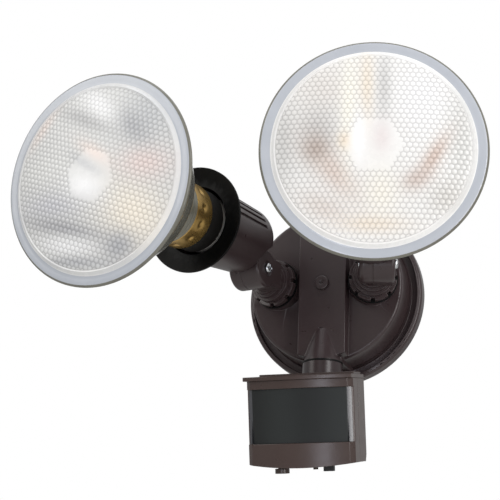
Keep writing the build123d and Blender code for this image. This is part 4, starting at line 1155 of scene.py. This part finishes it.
# Clear quartz of the burner, slightly milky so that it reads behind the lens.
quartz, tree, place = finish("quartz_burner")
milky = node(tree, "ShaderNodeTexNoise", {"Vector": place, "Scale": 1 / (4 * MM), "Detail": 2.0})
tone = node(
    tree,
    "ShaderNodeMix",
    {"Factor": milky.outputs["Fac"], 6: linear("#e0e2e4"), 7: linear("#f4f5f6")},
    data_type="RGBA",
)
glass = node(
    tree, "ShaderNodeBsdfPrincipled", {"Base Color": tone.outputs[2], "Roughness": 0.1, "IOR": 1.46}
)
node(tree, "ShaderNodeOutputMaterial", {"Surface": glass.outputs["BSDF"]})

# (radius, depth): the outside with its ridges, then back along the inside.
bowl_start = bowl_side[0][0]
bowl_lip = (57.0, bowl_start)
bowl_profile = [bowl_lip]
for k in range(bowl_rings):
    depth = bowl_start + bowl_step * k
    bowl_profile.append((bowl_radius(depth), depth))
bowl_profile += [(18.4, 72.2), (18.4, 100.0), (16.2, 100.0), (16.2, 68.0), (17.4, 66.0)]
bowl_profile += [(37.0, 35.0), (54.5, 6.0), bowl_lip]

# (radius, depth): over the neck, along the brass side, round its rolled end, and
# the stretch in the socket, painted nearly black as painted shade.
skirt_front, skirt_side, skirt_roll, skirt_inside = 72.4, 19.8, 88.6, 18.8
skirt_steps, skirt_dimples = 144, 12
dimple_place, dimple_half, dimple_press = 79.5, 1.6, 0.8
skirt = [(18.45, 68.0), (18.6, skirt_front), (19.5, skirt_front), (skirt_side, skirt_front + 0.4)]
skirt += [(skirt_side, skirt_front + 0.8 + 0.5 * k) for k in range(30)]
skirt += [(skirt_side - 0.1, 88.0), (skirt_side - 0.45, 88.4), (skirt_inside, skirt_roll)]
rolled_in = len(skirt)
skirt += [(skirt_inside, 101.5), (17.0, 104.0), (12.95, 104.0), (12.95, 103.4)]
skirt += [(16.4, 103.3), (18.45, 101.0), (18.45, 68.0)]


def dimpled(x, y, z):
    """A point of the skirt, pressed in where a dimple is."""
    r = math.hypot(x, z)
    if r <= skirt_side - 0.4:
        return x, y, z
    a, step = math.atan2(z, x), 2 * math.pi / skirt_dimples
    off = (a / step - round(a / step)) * step * r
    press = math.exp(-((off / dimple_half) ** 2) - ((y - dimple_place) / dimple_half) ** 2)
    share = (r - dimple_press * press) / r
    return x * share, y, z * share


for side in ("left", "right"):
    points, faces = turned_face(bowl_profile, 128)
    part = f"{side}_lamp_reflector"
    bowl = lamp_piece(f"{side}_glass_bowl", side, points, faces, (coated_glass,), part)
    # Painted light and shade: 0 at the rim, pale, to 1 at neck_shade_from, olive grey.
    painted_shade_layer = bowl.data.attributes.new("painted_neck_shade", "FLOAT", "POINT")
    painted_shade_layer.data.foreach_set(
        "value", [min(1.0, max(0.0, y / neck_shade_from)) for x, y, z in points]
    )

    points, faces = turned_face(skirt, skirt_steps)
    # Painted shade: the faces from the rolled end on take the near-black finish.
    kinds = [int(k >= (rolled_in - 1) * skirt_steps) for k in range(len(faces))]
    lamp_piece(
        f"{side}_dimpled_skirt",
        side,
        [dimpled(*p) for p in points],
        faces,
        (tarnished_brass, painted_holder_shade),
        f"{side}_lamp_skirt",
        kinds,
        crease=50,
    )
    dress([f"{side}_lamp_tip"], tarnished_brass)
    dress([f"{side}_lamp_capsule"], quartz)
